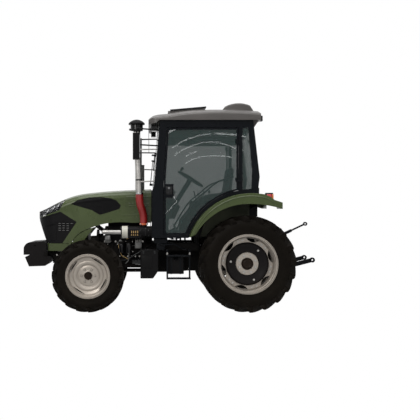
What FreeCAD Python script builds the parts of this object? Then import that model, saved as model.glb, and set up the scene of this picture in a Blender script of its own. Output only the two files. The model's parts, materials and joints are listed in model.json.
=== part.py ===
"""Farm tractor with an enclosed cab: a four-wheel-drive machine of about 70 hp.

The frame is +X forwards, +Y to the driver's left and +Z up. The origin lies on the ground, below the
middle of the whole machine. Lengths are in millimetres. Every piece is one file in parts/.
"""
import FreeCAD
import Mesh
import Part
import math
import os

V = FreeCAD.Vector
Y_AXIS = V(0, 1, 0)
Z_AXIS = V(0, 0, 1)
FULL_TURN = 360.0

# ---------------------------------------------------------------- driving dimensions
# Stance
WHEELBASE = 2222.0
REAR_AXLE_X = -1075.0
FRONT_AXLE_X = REAR_AXLE_X + WHEELBASE
FIT_GAP = 0.3            # between seated pieces
RUN_GAP = 0.5            # round a turning shaft
MOVE_GAP = 6.0           # round a panel that swings

# Rear wheels
REAR_TYRE_R = 675.0
REAR_TYRE_WIDTH = 370.0
REAR_WHEEL_Y = 680.0
REAR_FLANGE_R = 417.0
REAR_RIM_WIDTH = 318.0

# Front wheels
FRONT_TYRE_R = 505.0
FRONT_TYRE_WIDTH = 240.0
FRONT_WHEEL_Y = 710.0
FRONT_FLANGE_R = 312.0
FRONT_RIM_WIDTH = 196.0

# Rims and discs
RIM_FLANGE_HEIGHT = 25.0
RIM_WELL_DEPTH = 28.0
RIM_SHEET = 8.0
DISC_SHEET = 12.0

# Front axle and steering
KINGPIN_Y = 560.0
KINGPIN_R = 20.0
BOSS_R = 46.0
BOSS_HALF_HEIGHT = 70.0
STEER_ARM = 180.0
AXLE_BEAM_HALF = 48.0
TIE_ROD_R = 13.0

# Engine and driveline
ENGINE_HALF_WIDTH = 185.0
ENGINE_REAR_X = 260.0
ENGINE_FRONT_X = 985.0
GEARBOX_HALF_WIDTH = 180.0
GEARBOX_TOP_Z = 900.0
GEARBOX_BOTTOM_Z = 528.0
AXLE_TRUMPET_R = 88.0

# Hood
HOOD_REAR_X = 264.0
HOOD_SKIN = 6.0
HOOD_HALF_WIDTH = 332.0
HOOD_HINGE_X = 305.0
HOOD_HINGE_Z = 1690.0

# Cab
CAB_HALF_WIDTH = 660.0
CAB_WALL = 52.0
CAB_FLOOR_Z = 1031.0
CAB_FLOOR_SHEET = 30.0
CAB_FRONT_X = 244.0
CAB_FOOT_X = 258.0        # at the foot of the front pillar
CAB_REAR_X = -1263.0
CAB_INNER_HALF = 450.0   # between the rear wheels
DOOR_HINGE_X = -935.0
DOOR_SHEET = 36.0
DOOR_RAIL = 24.0
GLASS = 6.0
ROOF_UNDER_Z = 2690.0
ROOF_HALF_WIDTH = 705.0

# Rear fenders
FENDER_R = 900.0          # of the outer edge, about a point of its own
FENDER_ARC_BACK = 45.0    # from the rear axle back to the middle of the outer edge
FENDER_ARC_RISE = 84.0
FENDER_LOW_R = 834.0      # of the lower edge, about the axle
FENDER_SKIN = 8.0
FENDER_INNER_Y = 450.3
FENDER_OUTER_Y = 862.0

# Rear linkage
ROCKER_X = -1270.0
ROCKER_Z = 1080.0
LIFT_PIN_X = -1620.0
LIFT_PIN_Z = 1130.0
LINK_PIVOT_X = -1285.0
LINK_PIVOT_Z = 488.0
LINK_BALL_X = -2095.0
LINK_BALL_Z = 692.0
LINK_EYE_R = 37.0
ROD_FOOT_X = -1800.0
TOP_PIN_X = -1360.0
TOP_PIN_Z = 888.0
TOP_BALL_X = -2050.0
TOP_BALL_Z = 1215.0
LINK_FRONT_Y = 250.0


# ---------------------------------------------------------------- helpers
def box(x0, x1, y0, y1, z0, z1):
    return Part.makeBox(x1 - x0, y1 - y0, z1 - z0, V(x0, y0, z0))


def rod(start, end, radius):
    """Round bar from one point to another."""
    a = V(*start)
    b = V(*end)
    return Part.makeCylinder(radius, (b - a).Length, a, b - a)


def cylinder_y(x, z, y0, y1, radius):
    return Part.makeCylinder(radius, y1 - y0, V(x, y0, z), Y_AXIS)


def wire(points, place):
    """Closed outline. Each entry is a corner (a, b), or an arc ((a, b) on it, (a, b) at its end)."""
    edges = []
    first = points[0]
    last = first
    for entry in points[1:] + [first]:
        if isinstance(entry[0], tuple):
            middle, end = entry
            edges.append(Part.Arc(place(last), place(middle), place(end)).toShape())
            last = end
        else:
            edges.append(Part.LineSegment(place(last), place(entry)).toShape())
            last = entry
    return Part.Wire(edges)


def plate(points, y0, y1):
    """Outline in side view (x, z), as thick as y0 to y1."""
    flat = wire(points, lambda p: V(p[0], y0, p[1]))
    return Part.Face(flat).extrude(V(0, y1 - y0, 0))


def plan(points, z0, z1):
    """Outline seen from above (x, y), as high as z0 to z1."""
    flat = wire(points, lambda p: V(p[0], p[1], z0))
    return Part.Face(flat).extrude(V(0, 0, z1 - z0))


def spun(profile, x, z):
    """Profile of (y, radius) turned about the axle line through (x, z)."""
    flat = wire(profile, lambda p: V(x, p[0], z + p[1]))
    return Part.Face(flat).revolve(V(x, 0, z), Y_AXIS, FULL_TURN)


def joined(shapes):
    whole = shapes[0]
    if len(shapes) > 1:
        whole = whole.fuse(shapes[1:])
    return whole.removeSplitter()


def flipped(shape):
    """The same piece on the other side of the machine."""
    return shape.mirror(V(0, 0, 0), Y_AXIS)


def both(shape):
    return [shape, flipped(shape)]


def circle_points(count, radius, x, z, start_deg=0.0):
    step = FULL_TURN / count
    angles = [math.radians(start_deg + step * i) for i in range(count)]
    return [(x + radius * math.cos(a), z + radius * math.sin(a)) for a in angles]


def save(node, shapes):
    os.makedirs("parts", exist_ok=True)
    solids = []
    for shape in shapes if isinstance(shapes, list) else [shapes]:
        solids += shape.Solids
    whole = solids[0] if len(solids) == 1 else Part.makeCompound(solids)
    whole.exportStep(f"parts/{node}.step")


# ---------------------------------------------------------------- wheels
def rim(wheel_y, x, z, width, flange_r):
    """Drop-centre rim, a ring of one sheet."""
    half = width / 2
    seat = flange_r - RIM_FLANGE_HEIGHT
    well = seat - RIM_WELL_DEPTH
    slope = half * 0.45
    well_half = half * 0.25
    tyre_side = [(-half, flange_r), (-half, seat), (-slope, seat), (-well_half, well),
                 (well_half, well), (slope, seat), (half, seat), (half, flange_r)]
    t = RIM_SHEET
    hub_side = [(half + t, flange_r), (half + t, seat - t), (slope + t / 2, seat - t),
                (well_half + t / 2, well - t), (-well_half - t / 2, well - t),
                (-slope - t / 2, seat - t), (-half - t, seat - t), (-half - t, flange_r)]
    return spun([(wheel_y + y, r) for y, r in tyre_side + hub_side], x, z)


# Bars of the tread
REAR_LUGS = 20           # on each half of a tyre
FRONT_LUGS = 18
REAR_LUG_HEIGHT = 42.0
FRONT_LUG_HEIGHT = 28.0
LUG_BASE_SHARE = 0.50    # of the pitch, at the carcass
LUG_TIP_SHARE = 0.30     # of the pitch, at the top
LUG_SWEEP_DEG = 19.0     # that a bar's outer end trails its inner end
LUG_INNER_Y = 10.0
LUG_INNER_END = 4.0      # the top starts this far beyond the foot
SHOULDER_INSET = 20.0
SHOULDER_FALL = 8.0      # of the carcass from its middle to the shoulder
SHOULDER_DROP = 50.0     # to the top of the side wall
BELLY_SHARE = 0.42       # of the side wall's height, where it is widest
BEAD_LIP = 8.0
TIP_FALL = 1.0           # of a bar's top at its inner end


def ring(stations, y, radius, x, z):
    """Points of one ring of the tyre, one at each angle."""
    return [V(x + radius * math.cos(a), y, z + radius * math.sin(a)) for a in stations]


def strip(low, high):
    """Triangles between two rings with equal counts."""
    facets = []
    count = len(low)
    for i in range(count):
        j = (i + 1) % count
        facets += [(low[i], low[j], high[j]), (low[i], high[j], high[i])]
    return facets


def tread_half(side, shift, size, place, crown):
    """Facets of half a tyre, from its middle ring to its bead."""
    width, outer_r, rim_width, flange_r, lugs, lug_height = size
    wheel_y, x, z = place
    pitch = 2 * math.pi / lugs
    sweep = math.radians(LUG_SWEEP_DEG)
    half = width / 2
    base = pitch * LUG_BASE_SHARE / 2
    tip = pitch * LUG_TIP_SHARE / 2
    bottom = -math.pi / 2
    middles = [bottom + pitch * (i + shift) for i in range(lugs)]
    carcass = outer_r - lug_height
    seat = (flange_r - RIM_FLANGE_HEIGHT + FIT_GAP) / math.cos(pitch / 4)
    bead = rim_width / 2 - FIT_GAP
    shoulder = half - SHOULDER_INSET

    def at(y, radius, angle):
        return V(x + radius * math.cos(angle), wheel_y + side * y, z + radius * math.sin(angle))

    facets = []
    rows = []
    belly_r = flange_r + (outer_r - flange_r) * BELLY_SHARE
    levels = [(LUG_INNER_Y, carcass, -sweep), (shoulder, carcass - SHOULDER_FALL, 0.0),
              (half - FIT_GAP, carcass - SHOULDER_DROP, 0.0), (half, belly_r, 0.0),
              (bead, flange_r + BEAD_LIP, 0.0), (bead, seat, 0.0)]
    for y, radius, lead in levels:
        row = []
        for m in middles:
            row += [at(y, radius, m - base + lead), at(y, radius, m + base + lead)]
        rows.append(row)
    count = 2 * lugs
    for low, high in zip(rows[2:], rows[3:]):
        facets += strip(low, high)
    for i in range(lugs):
        gap0, gap1 = 2 * i + 1, (2 * i + 2) % count
        for low, high in ((rows[0], rows[1]), (rows[1], rows[2])):
            facets += [(low[gap0], low[gap1], high[gap1]), (low[gap0], high[gap1], high[gap0])]
        m = middles[i]
        top_in = [at(LUG_INNER_Y + LUG_INNER_END, outer_r - TIP_FALL, m - tip - sweep),
                  at(LUG_INNER_Y + LUG_INNER_END, outer_r - TIP_FALL, m + tip - sweep)]
        top_r = outer_r / math.cos(tip)
        top_out = [at(shoulder, top_r, m - tip), at(shoulder, top_r, m + tip)]
        foot_in = [rows[0][2 * i], rows[0][2 * i + 1]]
        foot_mid = [rows[1][2 * i], rows[1][2 * i + 1]]
        foot_out = [rows[2][2 * i], rows[2][2 * i + 1]]
        quads = [(foot_in[0], foot_in[1], top_in[1], top_in[0]),
                 (top_in[0], top_in[1], top_out[1], top_out[0]),
                 (top_out[0], top_out[1], foot_out[1], foot_out[0]),
                 (foot_in[0], top_in[0], top_out[0], foot_mid[0]),
                 (top_in[1], foot_in[1], foot_mid[1], top_out[1])]
        for q in quads:
            facets += [(q[0], q[1], q[2]), (q[0], q[2], q[3])]
        facets += [(foot_mid[0], top_out[0], foot_out[0]), (top_out[1], foot_mid[1], foot_out[1])]
    inner = rows[0]
    for i in range(count):
        j = (i + 1) % count
        facets += [(inner[i], crown[i], crown[j]), (inner[i], crown[j], inner[j])]
    return facets, rows[-1]


def tyre(wheel_y, x, z, width, outer_r, rim_width, flange_r, lugs, lug_height):
    """Tyre with its two rows of slanting bars, flat-faced, seated in the rim."""
    size = (width, outer_r, rim_width, flange_r, lugs, lug_height)
    pitch = 2 * math.pi / lugs
    base = pitch * LUG_BASE_SHARE / 2
    facets = []
    bores = []
    start = -math.pi / 2 - math.radians(LUG_SWEEP_DEG)
    crown_angles = []
    for i in range(lugs):
        crown_angles += [start + pitch * i - base, start + pitch * i + base]
    crown = ring(crown_angles, wheel_y, outer_r - lug_height, x, z)
    for side, shift in ((1, 0.0), (-1, 0.5)):
        turned = crown if shift == 0.0 else crown[1:] + crown[:1]
        half, bore = tread_half(side, shift, size, (wheel_y, x, z), turned)
        facets += half
        bores.append(bore)
    far = bores[1]
    facets += strip(bores[0], far[-1:] + far[:-1])
    shape = Part.Shape()
    shape.makeShapeFromMesh(closed_mesh(facets).Topology, 0.01)
    return Part.makeSolid(Part.makeShell(shape.Faces)).removeSplitter()


def closed_mesh(facets):
    """Facets as one mesh whose normals all point outwards."""
    mesh = Mesh.Mesh([tuple(p) for facet in facets for p in facet])
    mesh.harmonizeNormals()
    if mesh.Volume < 0:
        mesh.flipNormals()
    return mesh


# Where the discs meet the rims, outboard of the wheel's middle
REAR_DISC_OFFSET = 30.0
FRONT_DISC_OFFSET = 14.0
REAR_HUB_R = 158.0
FRONT_HUB_R = 118.0
REAR_CAP_R = 80.0
FRONT_CAP_R = 58.0
DISC_LOBES = 6


def rear_wheel():
    x = REAR_AXLE_X
    z = REAR_TYRE_R
    y = REAR_WHEEL_Y
    ring = rim(y, x, z, REAR_RIM_WIDTH, REAR_FLANGE_R)
    bore = REAR_FLANGE_R - RIM_FLANGE_HEIGHT - RIM_WELL_DEPTH - RIM_SHEET
    face = y + REAR_DISC_OFFSET
    disc = cylinder_y(x, z, face, face + DISC_SHEET, bore + 2)
    lobe_gap = 26.0
    for cx, cz in circle_points(DISC_LOBES, bore + 30, x, z, 43.0):
        disc = disc.cut(cylinder_y(cx, cz, face - 1, face + DISC_SHEET + 1, 30 + lobe_gap))
    hub = cylinder_y(x, z, face - 16, face, REAR_HUB_R)
    flange = cylinder_y(x, z, AXLE_END_Y + RUN_GAP, face - 16, AXLE_TRUMPET_R)
    stub = cylinder_y(x, z, AXLE_END_Y - AXLE_STUB_DEPTH, AXLE_END_Y + RUN_GAP, AXLE_STUB_R)
    cap = cylinder_y(x, z, face + DISC_SHEET, face + DISC_SHEET + 30, REAR_CAP_R)
    return joined([ring, disc, hub, flange, stub, cap])


# Ends of the rear axle housings and the half shafts in them
AXLE_END_Y = 560.0
AXLE_STUB_R = 45.0
AXLE_STUB_DEPTH = 70.0
SPINDLE_R = 32.0
SPINDLE_DEPTH = 42.0
WEIGHT_R = 300.0
WEIGHT_THICK = 62.0
WEIGHT_BORE_R = REAR_HUB_R


def rear_weight():
    """Cast ring bolted to the outside of the rear disc."""
    face = REAR_WHEEL_Y + REAR_DISC_OFFSET + DISC_SHEET
    profile = [(face, WEIGHT_BORE_R), (face, WEIGHT_R), (face + WEIGHT_THICK * 0.6, WEIGHT_R),
               (face + WEIGHT_THICK, WEIGHT_R - 30), (face + WEIGHT_THICK * 0.7, WEIGHT_R - 90),
               (face + 14, WEIGHT_BORE_R)]
    return spun(profile, REAR_AXLE_X, REAR_TYRE_R)


def front_wheel():
    x = FRONT_AXLE_X
    z = FRONT_TYRE_R
    y = FRONT_WHEEL_Y
    ring = rim(y, x, z, FRONT_RIM_WIDTH, FRONT_FLANGE_R)
    bore = FRONT_FLANGE_R - RIM_FLANGE_HEIGHT - RIM_WELL_DEPTH - RIM_SHEET
    face = y + FRONT_DISC_OFFSET
    t = DISC_SHEET
    dish = spun([(face - 30, 0), (face - 30, 140), (face - 12, 165), (face, bore + 2),
                 (face + t, bore + 2), (face + t - 12, 168), (face + t - 30, 146),
                 (face + t - 30, 0)], x, z)
    slot_r = 20.0
    for cx, cz in circle_points(4, bore - 6, x, z, 45.0):
        dish = dish.cut(cylinder_y(cx, cz, face - 40, face + 40, slot_r))
    hub_back = KNUCKLE_FACE_Y + RUN_GAP
    hub = cylinder_y(x, z, hub_back, face - 30, FRONT_HUB_R)
    stub = cylinder_y(x, z, KNUCKLE_FACE_Y - SPINDLE_DEPTH, hub_back, SPINDLE_R)
    cap = cylinder_y(x, z, face + t - 30, face + t + 24, FRONT_CAP_R)
    return joined([ring, dish, hub, stub, cap])


# ---------------------------------------------------------------- front axle and steering
KNUCKLE_LUG = 30.0
KNUCKLE_FACE_Y = KINGPIN_Y + 108.0
KNUCKLE_WEB_Y = KINGPIN_Y + BOSS_R + MOVE_GAP


def front_axle():
    """Rigid driven beam with its differential housing and the two kingpin bosses."""
    x = FRONT_AXLE_X
    z = FRONT_TYRE_R
    half = AXLE_BEAM_HALF
    inner = KINGPIN_Y - 10
    beam = box(x - half, x + half, -inner, inner, z - half, z + half)
    diff = cylinder_y(x, z, -DIFF_HALF, DIFF_HALF, DIFF_R)
    nose = rod((x - DIFF_R - 60, 0, z), (x, 0, z), PINION_R)
    pivot_front = rod((x, 0, z), (x + DIFF_R + 42, 0, z), TRUNNION_R)
    pieces = [beam, diff, nose, pivot_front]
    for side in (-1, 1):
        y = side * KINGPIN_Y
        boss = Part.makeCylinder(BOSS_R, 2 * BOSS_HALF_HEIGHT, V(x, y, z - BOSS_HALF_HEIGHT))
        pieces.append(boss)
    axle = joined(pieces)
    for side in (-1, 1):
        y = side * KINGPIN_Y
        pin_bore = KINGPIN_R + FIT_GAP
        for z0 in (z - BOSS_HALF_HEIGHT - 1, z + BOSS_HALF_HEIGHT - 34):
            axle = axle.cut(Part.makeCylinder(pin_bore, 35, V(x, y, z0)))
    return axle


def knuckle():
    """Left steering knuckle: a fork round the kingpin boss, with its steering arm."""
    x = FRONT_AXLE_X
    y = KINGPIN_Y
    z = FRONT_TYRE_R
    lug0 = BOSS_HALF_HEIGHT + RUN_GAP
    lug1 = lug0 + KNUCKLE_LUG
    reach = KNUCKLE_WEB_Y + 20
    pieces = []
    for low, high in ((z + lug0, z + lug1), (z - lug1, z - lug0)):
        lug = Part.makeCylinder(BOSS_R - 4, high - low, V(x, y, low))
        arm = box(x - BOSS_R + 8, x + BOSS_R - 8, y, reach, low, high)
        pieces += [lug, arm]
    pin_in = 30.0
    pieces.append(Part.makeCylinder(KINGPIN_R, pin_in + 2, V(x, y, z + lug0 - pin_in)))
    pieces.append(Part.makeCylinder(KINGPIN_R, pin_in + 2, V(x, y, z - lug0 - 2)))
    pieces.append(box(x - 62, x + 62, KNUCKLE_WEB_Y, KNUCKLE_FACE_Y - 20, z - lug1, z + lug1))
    pieces.append(cylinder_y(x, z, KNUCKLE_WEB_Y, KNUCKLE_FACE_Y, 92))
    arm_top = z - lug0
    arm_low = z - lug1
    pieces.append(plan([(x, y - 26), (x, y + 26), (x - STEER_ARM, y + 22),
                        ((x - STEER_ARM - 22, y), (x - STEER_ARM, y - 22))], arm_low, arm_top))
    whole = joined(pieces)
    whole = whole.cut(cylinder_y(x, z, KNUCKLE_FACE_Y - SPINDLE_DEPTH - RUN_GAP,
                                 KNUCKLE_FACE_Y + 1, SPINDLE_R + RUN_GAP))
    pin_hole = Part.makeCylinder(12 + FIT_GAP, 60, V(x - STEER_ARM, y, arm_low - 15))
    return whole.cut(pin_hole)


def tie_rod():
    """Rod between the two steering arms, with a pin at each end that stands in the arm."""
    x = FRONT_AXLE_X - STEER_ARM
    lug1 = BOSS_HALF_HEIGHT + RUN_GAP + KNUCKLE_LUG
    z_arm = FRONT_TYRE_R - lug1
    z_rod = FRONT_TYRE_R - lug1 - RUN_GAP - 20
    end = KINGPIN_Y
    pieces = [rod((x, -end, z_rod), (x, end, z_rod), TIE_ROD_R)]
    for side in (-1, 1):
        pieces.append(Part.makeCylinder(22, 40, V(x, side * end, z_rod - 20)))
        pieces.append(Part.makeCylinder(12, z_arm + KNUCKLE_LUG - z_rod, V(x, side * end, z_rod)))
    return joined(pieces)


# ---------------------------------------------------------------- frame, engine and driveline
FRAME_HALF = 150.0
FRAME_TOP_Z = 800.0
FRAME_BOTTOM_Z = 640.0
FRAME_FRONT_X = 1720.0
CARRIER_REACH = 60.0     # from the frame's end to the carrier bar
CARRIER_DEPTH = 56.0
CARRIER_X0 = FRAME_FRONT_X + CARRIER_REACH
CARRIER_X1 = CARRIER_X0 + CARRIER_DEPTH
CARRIER_Z0 = 748.0
CARRIER_Z1 = 812.0
WEIGHT_COUNT = 8
WEIGHT_PITCH = 70.0
WEIGHT_SLAB = 64.0
WEIGHT_HOLE_R = 11.0
WEIGHT_REACH = 296.0     # of the slabs ahead of the carrier bar
WEIGHT_HOOK = 48.0       # of the slabs behind the carrier bar
DIFF_R = 112.0
DIFF_HALF = 120.0
PINION_R = 62.0
TRUNNION_R = 50.0


def front_frame():
    """Cast bolster from the engine to the weight carrier, with the axle's two pivot brackets."""
    x = FRONT_AXLE_X
    z = FRONT_TYRE_R
    rail_mid = FRAME_HALF - 20
    rails = [box(ENGINE_FRONT_X + FIT_GAP, FRAME_FRONT_X, s * rail_mid - 20, s * rail_mid + 20,
                 FRAME_BOTTOM_Z, FRAME_TOP_Z) for s in (-1, 1)]
    deck = box(ENGINE_FRONT_X + FIT_GAP, FRAME_FRONT_X, -rail_mid, rail_mid,
               FRAME_TOP_Z - 30, FRAME_TOP_Z)
    tongue = box(FRAME_FRONT_X - 20, CARRIER_X1, -FRAME_HALF, FRAME_HALF, CARRIER_Z0, CARRIER_Z1)
    half_bar = WEIGHT_COUNT * WEIGHT_PITCH / 2
    bar = box(CARRIER_X0, CARRIER_X1, -half_bar, half_bar, CARRIER_Z0, CARRIER_Z1)
    bracket_low = z - PINION_R - 28
    bracket_half = DIFF_HALF
    back = box(x - DIFF_R - 40, x - DIFF_R - MOVE_GAP, -bracket_half, bracket_half,
               bracket_low, FRAME_TOP_Z - 20)
    front = box(x + DIFF_R + MOVE_GAP, x + DIFF_R + 42, -bracket_half, bracket_half,
                bracket_low, FRAME_TOP_Z - 20)
    frame = joined(rails + [deck, tongue, bar, back, front])
    pinion_bore = rod((x - DIFF_R - 60, 0, z), (x - DIFF_R, 0, z), PINION_R + FIT_GAP)
    trunnion_bore = rod((x + DIFF_R, 0, z), (x + DIFF_R + 60, 0, z), TRUNNION_R + FIT_GAP)
    return frame.cut(pinion_bore).cut(trunnion_bore)


def front_weights():
    """Row of slab weights that hang on the carrier bar, each with a lifting hole."""
    tip = CARRIER_X1 + WEIGHT_REACH
    hook = CARRIER_X0 - WEIGHT_HOOK
    slot = CARRIER_X1 + FIT_GAP
    rear = CARRIER_X1 - 34
    outline = [(tip, 768), (tip, 861), ((tip - 34, 925), (tip - 116, 953)), (rear + 40, 966),
               (rear, 944), (rear - 5, CARRIER_Z1 + FIT_GAP), (slot, CARRIER_Z1 + FIT_GAP),
               (slot, CARRIER_Z0 - FIT_GAP), (hook, CARRIER_Z0 - FIT_GAP), (hook - 4, 712),
               (hook + 16, 658), (hook + 86, 606), (tip - 78, 598), (tip - 20, 736), (tip - 90, 770)]
    slabs = []
    for i in range(WEIGHT_COUNT):
        y = (i - (WEIGHT_COUNT - 1) / 2) * WEIGHT_PITCH
        slab = plate(outline, y - WEIGHT_SLAB / 2, y + WEIGHT_SLAB / 2)
        hole = cylinder_y(tip - 165, 903, y - WEIGHT_PITCH, y + WEIGHT_PITCH, WEIGHT_HOLE_R)
        slabs.append(slab.cut(hole))
    return slabs


FLYWHEEL_Z = 790.0
FLYWHEEL_R = 225.0
HEAD_Y = ENGINE_HALF_WIDTH - 20


def engine():
    """Engine block with its sump, head, cover, flywheel housing and fan, and the radiator ahead."""
    w = ENGINE_HALF_WIDTH
    block = box(ENGINE_REAR_X + 90, ENGINE_FRONT_X, -w, w, 640, 1040)
    sump = box(ENGINE_REAR_X + 150, ENGINE_FRONT_X - 215, -w + 30, w - 30, 570, 640)
    head = box(ENGINE_REAR_X + 110, ENGINE_FRONT_X - 40, -w + 30, HEAD_Y, 1040, 1180)
    cover = box(ENGINE_REAR_X + 140, ENGINE_FRONT_X - 80, -90, 90, 1180, 1270)
    flywheel = rod((ENGINE_REAR_X, 0, FLYWHEEL_Z), (ENGINE_REAR_X + 92, 0, FLYWHEEL_Z), FLYWHEEL_R)
    pulley = rod((ENGINE_FRONT_X, 0, 980), (ENGINE_FRONT_X + 60, 0, 980), 90)
    fan = rod((ENGINE_FRONT_X + 60, 0, 980), (ENGINE_FRONT_X + 90, 0, 980), 150)
    return joined([block, sump, head, cover, flywheel, pulley, fan])


RADIATOR_X = 1190.0


def radiator():
    core = box(RADIATOR_X, RADIATOR_X + 90, -240, 240, FRAME_TOP_Z + FIT_GAP, 1430)
    tank = box(RADIATOR_X - 10, RADIATOR_X + 100, -220, 220, 1430, 1500)
    return joined([core, tank])


def drivetrain():
    """Clutch housing, gearbox, rear axle housing with its trumpets, and the lift housing on top."""
    w = GEARBOX_HALF_WIDTH
    x = REAR_AXLE_X
    z = REAR_TYRE_R
    clutch = box(20, ENGINE_REAR_X - FIT_GAP, -w - 20, w + 20, GEARBOX_BOTTOM_Z + 20, CLUTCH_TOP_Z)
    drive = rod((-60, 0, DRIVE_Z), (FRONT_AXLE_X - DIFF_R - 60 - FIT_GAP, 0, DRIVE_Z), DRIVE_R)
    gearbox = box(-860, 20, -w, w, GEARBOX_BOTTOM_Z, GEARBOX_TOP_Z)
    rear = box(x - 190, -860, -w - 30, w + 30, GEARBOX_BOTTOM_Z - 40, 960)
    lift = box(x - 190, -820, -150, 150, 960, 1170)
    rocker_boss = cylinder_y(ROCKER_X, ROCKER_Z, -200, 200, 70)
    web = box(ROCKER_X, x - 180, -150, 150, ROCKER_Z - 60, ROCKER_Z + 60)
    trumpet = cylinder_y(x, z, -AXLE_END_Y, AXLE_END_Y, AXLE_TRUMPET_R)
    collar = [cylinder_y(x, z, s * (w + 60) - 30, s * (w + 60) + 30, 150) for s in (-1, 1)]
    pivot_lug = cylinder_y(LINK_PIVOT_X, LINK_PIVOT_Z, -LINK_LUG_Y, LINK_LUG_Y, 40)
    lug_web = box(LINK_PIVOT_X, x - 180, -LINK_LUG_Y + 20, LINK_LUG_Y - 20,
                  LINK_PIVOT_Z - 38, LINK_PIVOT_Z + 60)
    top_web = box(TOP_PIN_X + 40, x - 180, -TOP_EAR_Y, TOP_EAR_Y, TOP_PIN_Z - 40, TOP_PIN_Z + 40)
    rails = []
    for s in (-1, 1):
        rails.append(box(-420, 150, s * 425 - 35, s * 425 + 35, RAIL_Z0, RAIL_Z1))
        rails.append(box(-60, 0, min(0, s * 400), max(0, s * 400), RAIL_Z0, RAIL_Z1 - 30))
        rails.append(box(-380, -320, min(0, s * 400), max(0, s * 400), RAIL_Z0, RAIL_Z1 - 30))
    body = joined([clutch, drive, gearbox, rear, lift, rocker_boss, web, trumpet, pivot_lug, lug_web,
                   top_web, pto_stub()] + collar + rails)
    body = body.cut(cylinder_y(ROCKER_X, ROCKER_Z, -210, 210, ROCKER_R + FIT_GAP))
    ear = box(TOP_PIN_X - 30, TOP_PIN_X + 42, -TOP_EAR_Y, TOP_EAR_Y, TOP_PIN_Z - 34, TOP_PIN_Z + 34)
    gap = box(TOP_PIN_X - 32, TOP_PIN_X + 40, -TOP_EYE_Y - 1, TOP_EYE_Y + 1,
              TOP_PIN_Z - 60, TOP_PIN_Z + 60)
    pin = cylinder_y(TOP_PIN_X, TOP_PIN_Z, -TOP_EAR_Y, TOP_EAR_Y, TOP_PIN_R)
    body = joined([body, ear.cut(gap), pin])
    for s in (-1, 1):
        y_end = AXLE_END_Y + 1
        bore = cylinder_y(x, z, AXLE_END_Y - AXLE_STUB_DEPTH - RUN_GAP, y_end, AXLE_STUB_R + RUN_GAP)
        body = body.cut(bore if s > 0 else flipped(bore))
    return body


ROCKER_R = 38.0
CLUTCH_TOP_Z = GEARBOX_TOP_Z + 40
DRIVE_Z = 520.0
DRIVE_R = 27.0
LINK_LUG_Y = 225.0
TOP_EAR_Y = 48.0
TOP_EYE_Y = 25.0
TOP_PIN_R = 12.5
RAIL_Z0 = 842.0
RAIL_Z1 = 952.0
PTO_R = 17.45
PTO_LENGTH = 76.0
PTO_X = REAR_AXLE_X - 190
PTO_Z = 620.0


def pto_stub():
    """Output shaft at the back, with its housing."""
    housing = rod((PTO_X + 5, 0, PTO_Z), (PTO_X - 40, 0, PTO_Z), 70)
    shaft = rod((PTO_X - 20, 0, PTO_Z), (PTO_X - 40 - PTO_LENGTH, 0, PTO_Z), PTO_R)
    return joined([housing, shaft])


DRAWBAR_HOLE_R = 16.5
DRAWBAR_END_X = -1560.0


def drawbar():
    """Swinging drawbar below the gearbox, with its hanger."""
    z0 = 400.0
    z1 = 432.0
    bar = plan([(REAR_AXLE_X + 60, -35), (REAR_AXLE_X + 60, 35), (DRAWBAR_END_X, 35),
                ((DRAWBAR_END_X - 35, 0), (DRAWBAR_END_X, -35))], z0, z1)
    front = box(REAR_AXLE_X - 20, REAR_AXLE_X + 60, -60, 60, z1, GEARBOX_BOTTOM_Z - 40)
    back = box(REAR_AXLE_X - 160, REAR_AXLE_X - 120, -60, 60, z1, GEARBOX_BOTTOM_Z - 40)
    hole = Part.makeCylinder(DRAWBAR_HOLE_R, 60, V(DRAWBAR_END_X, 0, z0 - 10))
    return joined([bar, front, back]).cut(hole)


# ---------------------------------------------------------------- rear linkage
LIFT_ARM_Y = 230.0
LIFT_ARM_HALF = 18.0
ROD_Y = LIFT_ARM_Y + LIFT_ARM_HALF + 20.0


def strap(start, end, r_start, r_end, y0, y1):
    """Flat link with a round end at each pin, seen from the side."""
    a = cylinder_y(start[0], start[1], y0, y1, r_start)
    b = cylinder_y(end[0], end[1], y0, y1, r_end)
    dx = end[0] - start[0]
    dz = end[1] - start[1]
    length = math.hypot(dx, dz)
    nx = -dz / length
    nz = dx / length
    corners = [(start[0] + nx * r_start, start[1] + nz * r_start),
               (end[0] + nx * r_end, end[1] + nz * r_end),
               (end[0] - nx * r_end, end[1] - nz * r_end),
               (start[0] - nx * r_start, start[1] - nz * r_start)]
    return joined([a, b, plate(corners, y0, y1)])


def lift_arms():
    """Rocker shaft with an arm on each end and the pin at each arm's tip."""
    shaft = cylinder_y(ROCKER_X, ROCKER_Z, -LIFT_ARM_Y, LIFT_ARM_Y, ROCKER_R)
    pieces = [shaft]
    for s in (-1, 1):
        y = s * LIFT_ARM_Y
        pieces.append(strap((ROCKER_X, ROCKER_Z), (LIFT_PIN_X, LIFT_PIN_Z), 62, 32,
                            y - LIFT_ARM_HALF, y + LIFT_ARM_HALF))
        tip0, tip1 = sorted((y, s * (ROD_Y + 24)))
        pieces.append(cylinder_y(LIFT_PIN_X, LIFT_PIN_Z, tip0, tip1, 14))
    return joined(pieces)


def rod_foot_z():
    share = (ROD_FOOT_X - LINK_PIVOT_X) / (LINK_BALL_X - LINK_PIVOT_X)
    return LINK_PIVOT_Z + share * (LINK_BALL_Z - LINK_PIVOT_Z)


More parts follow.
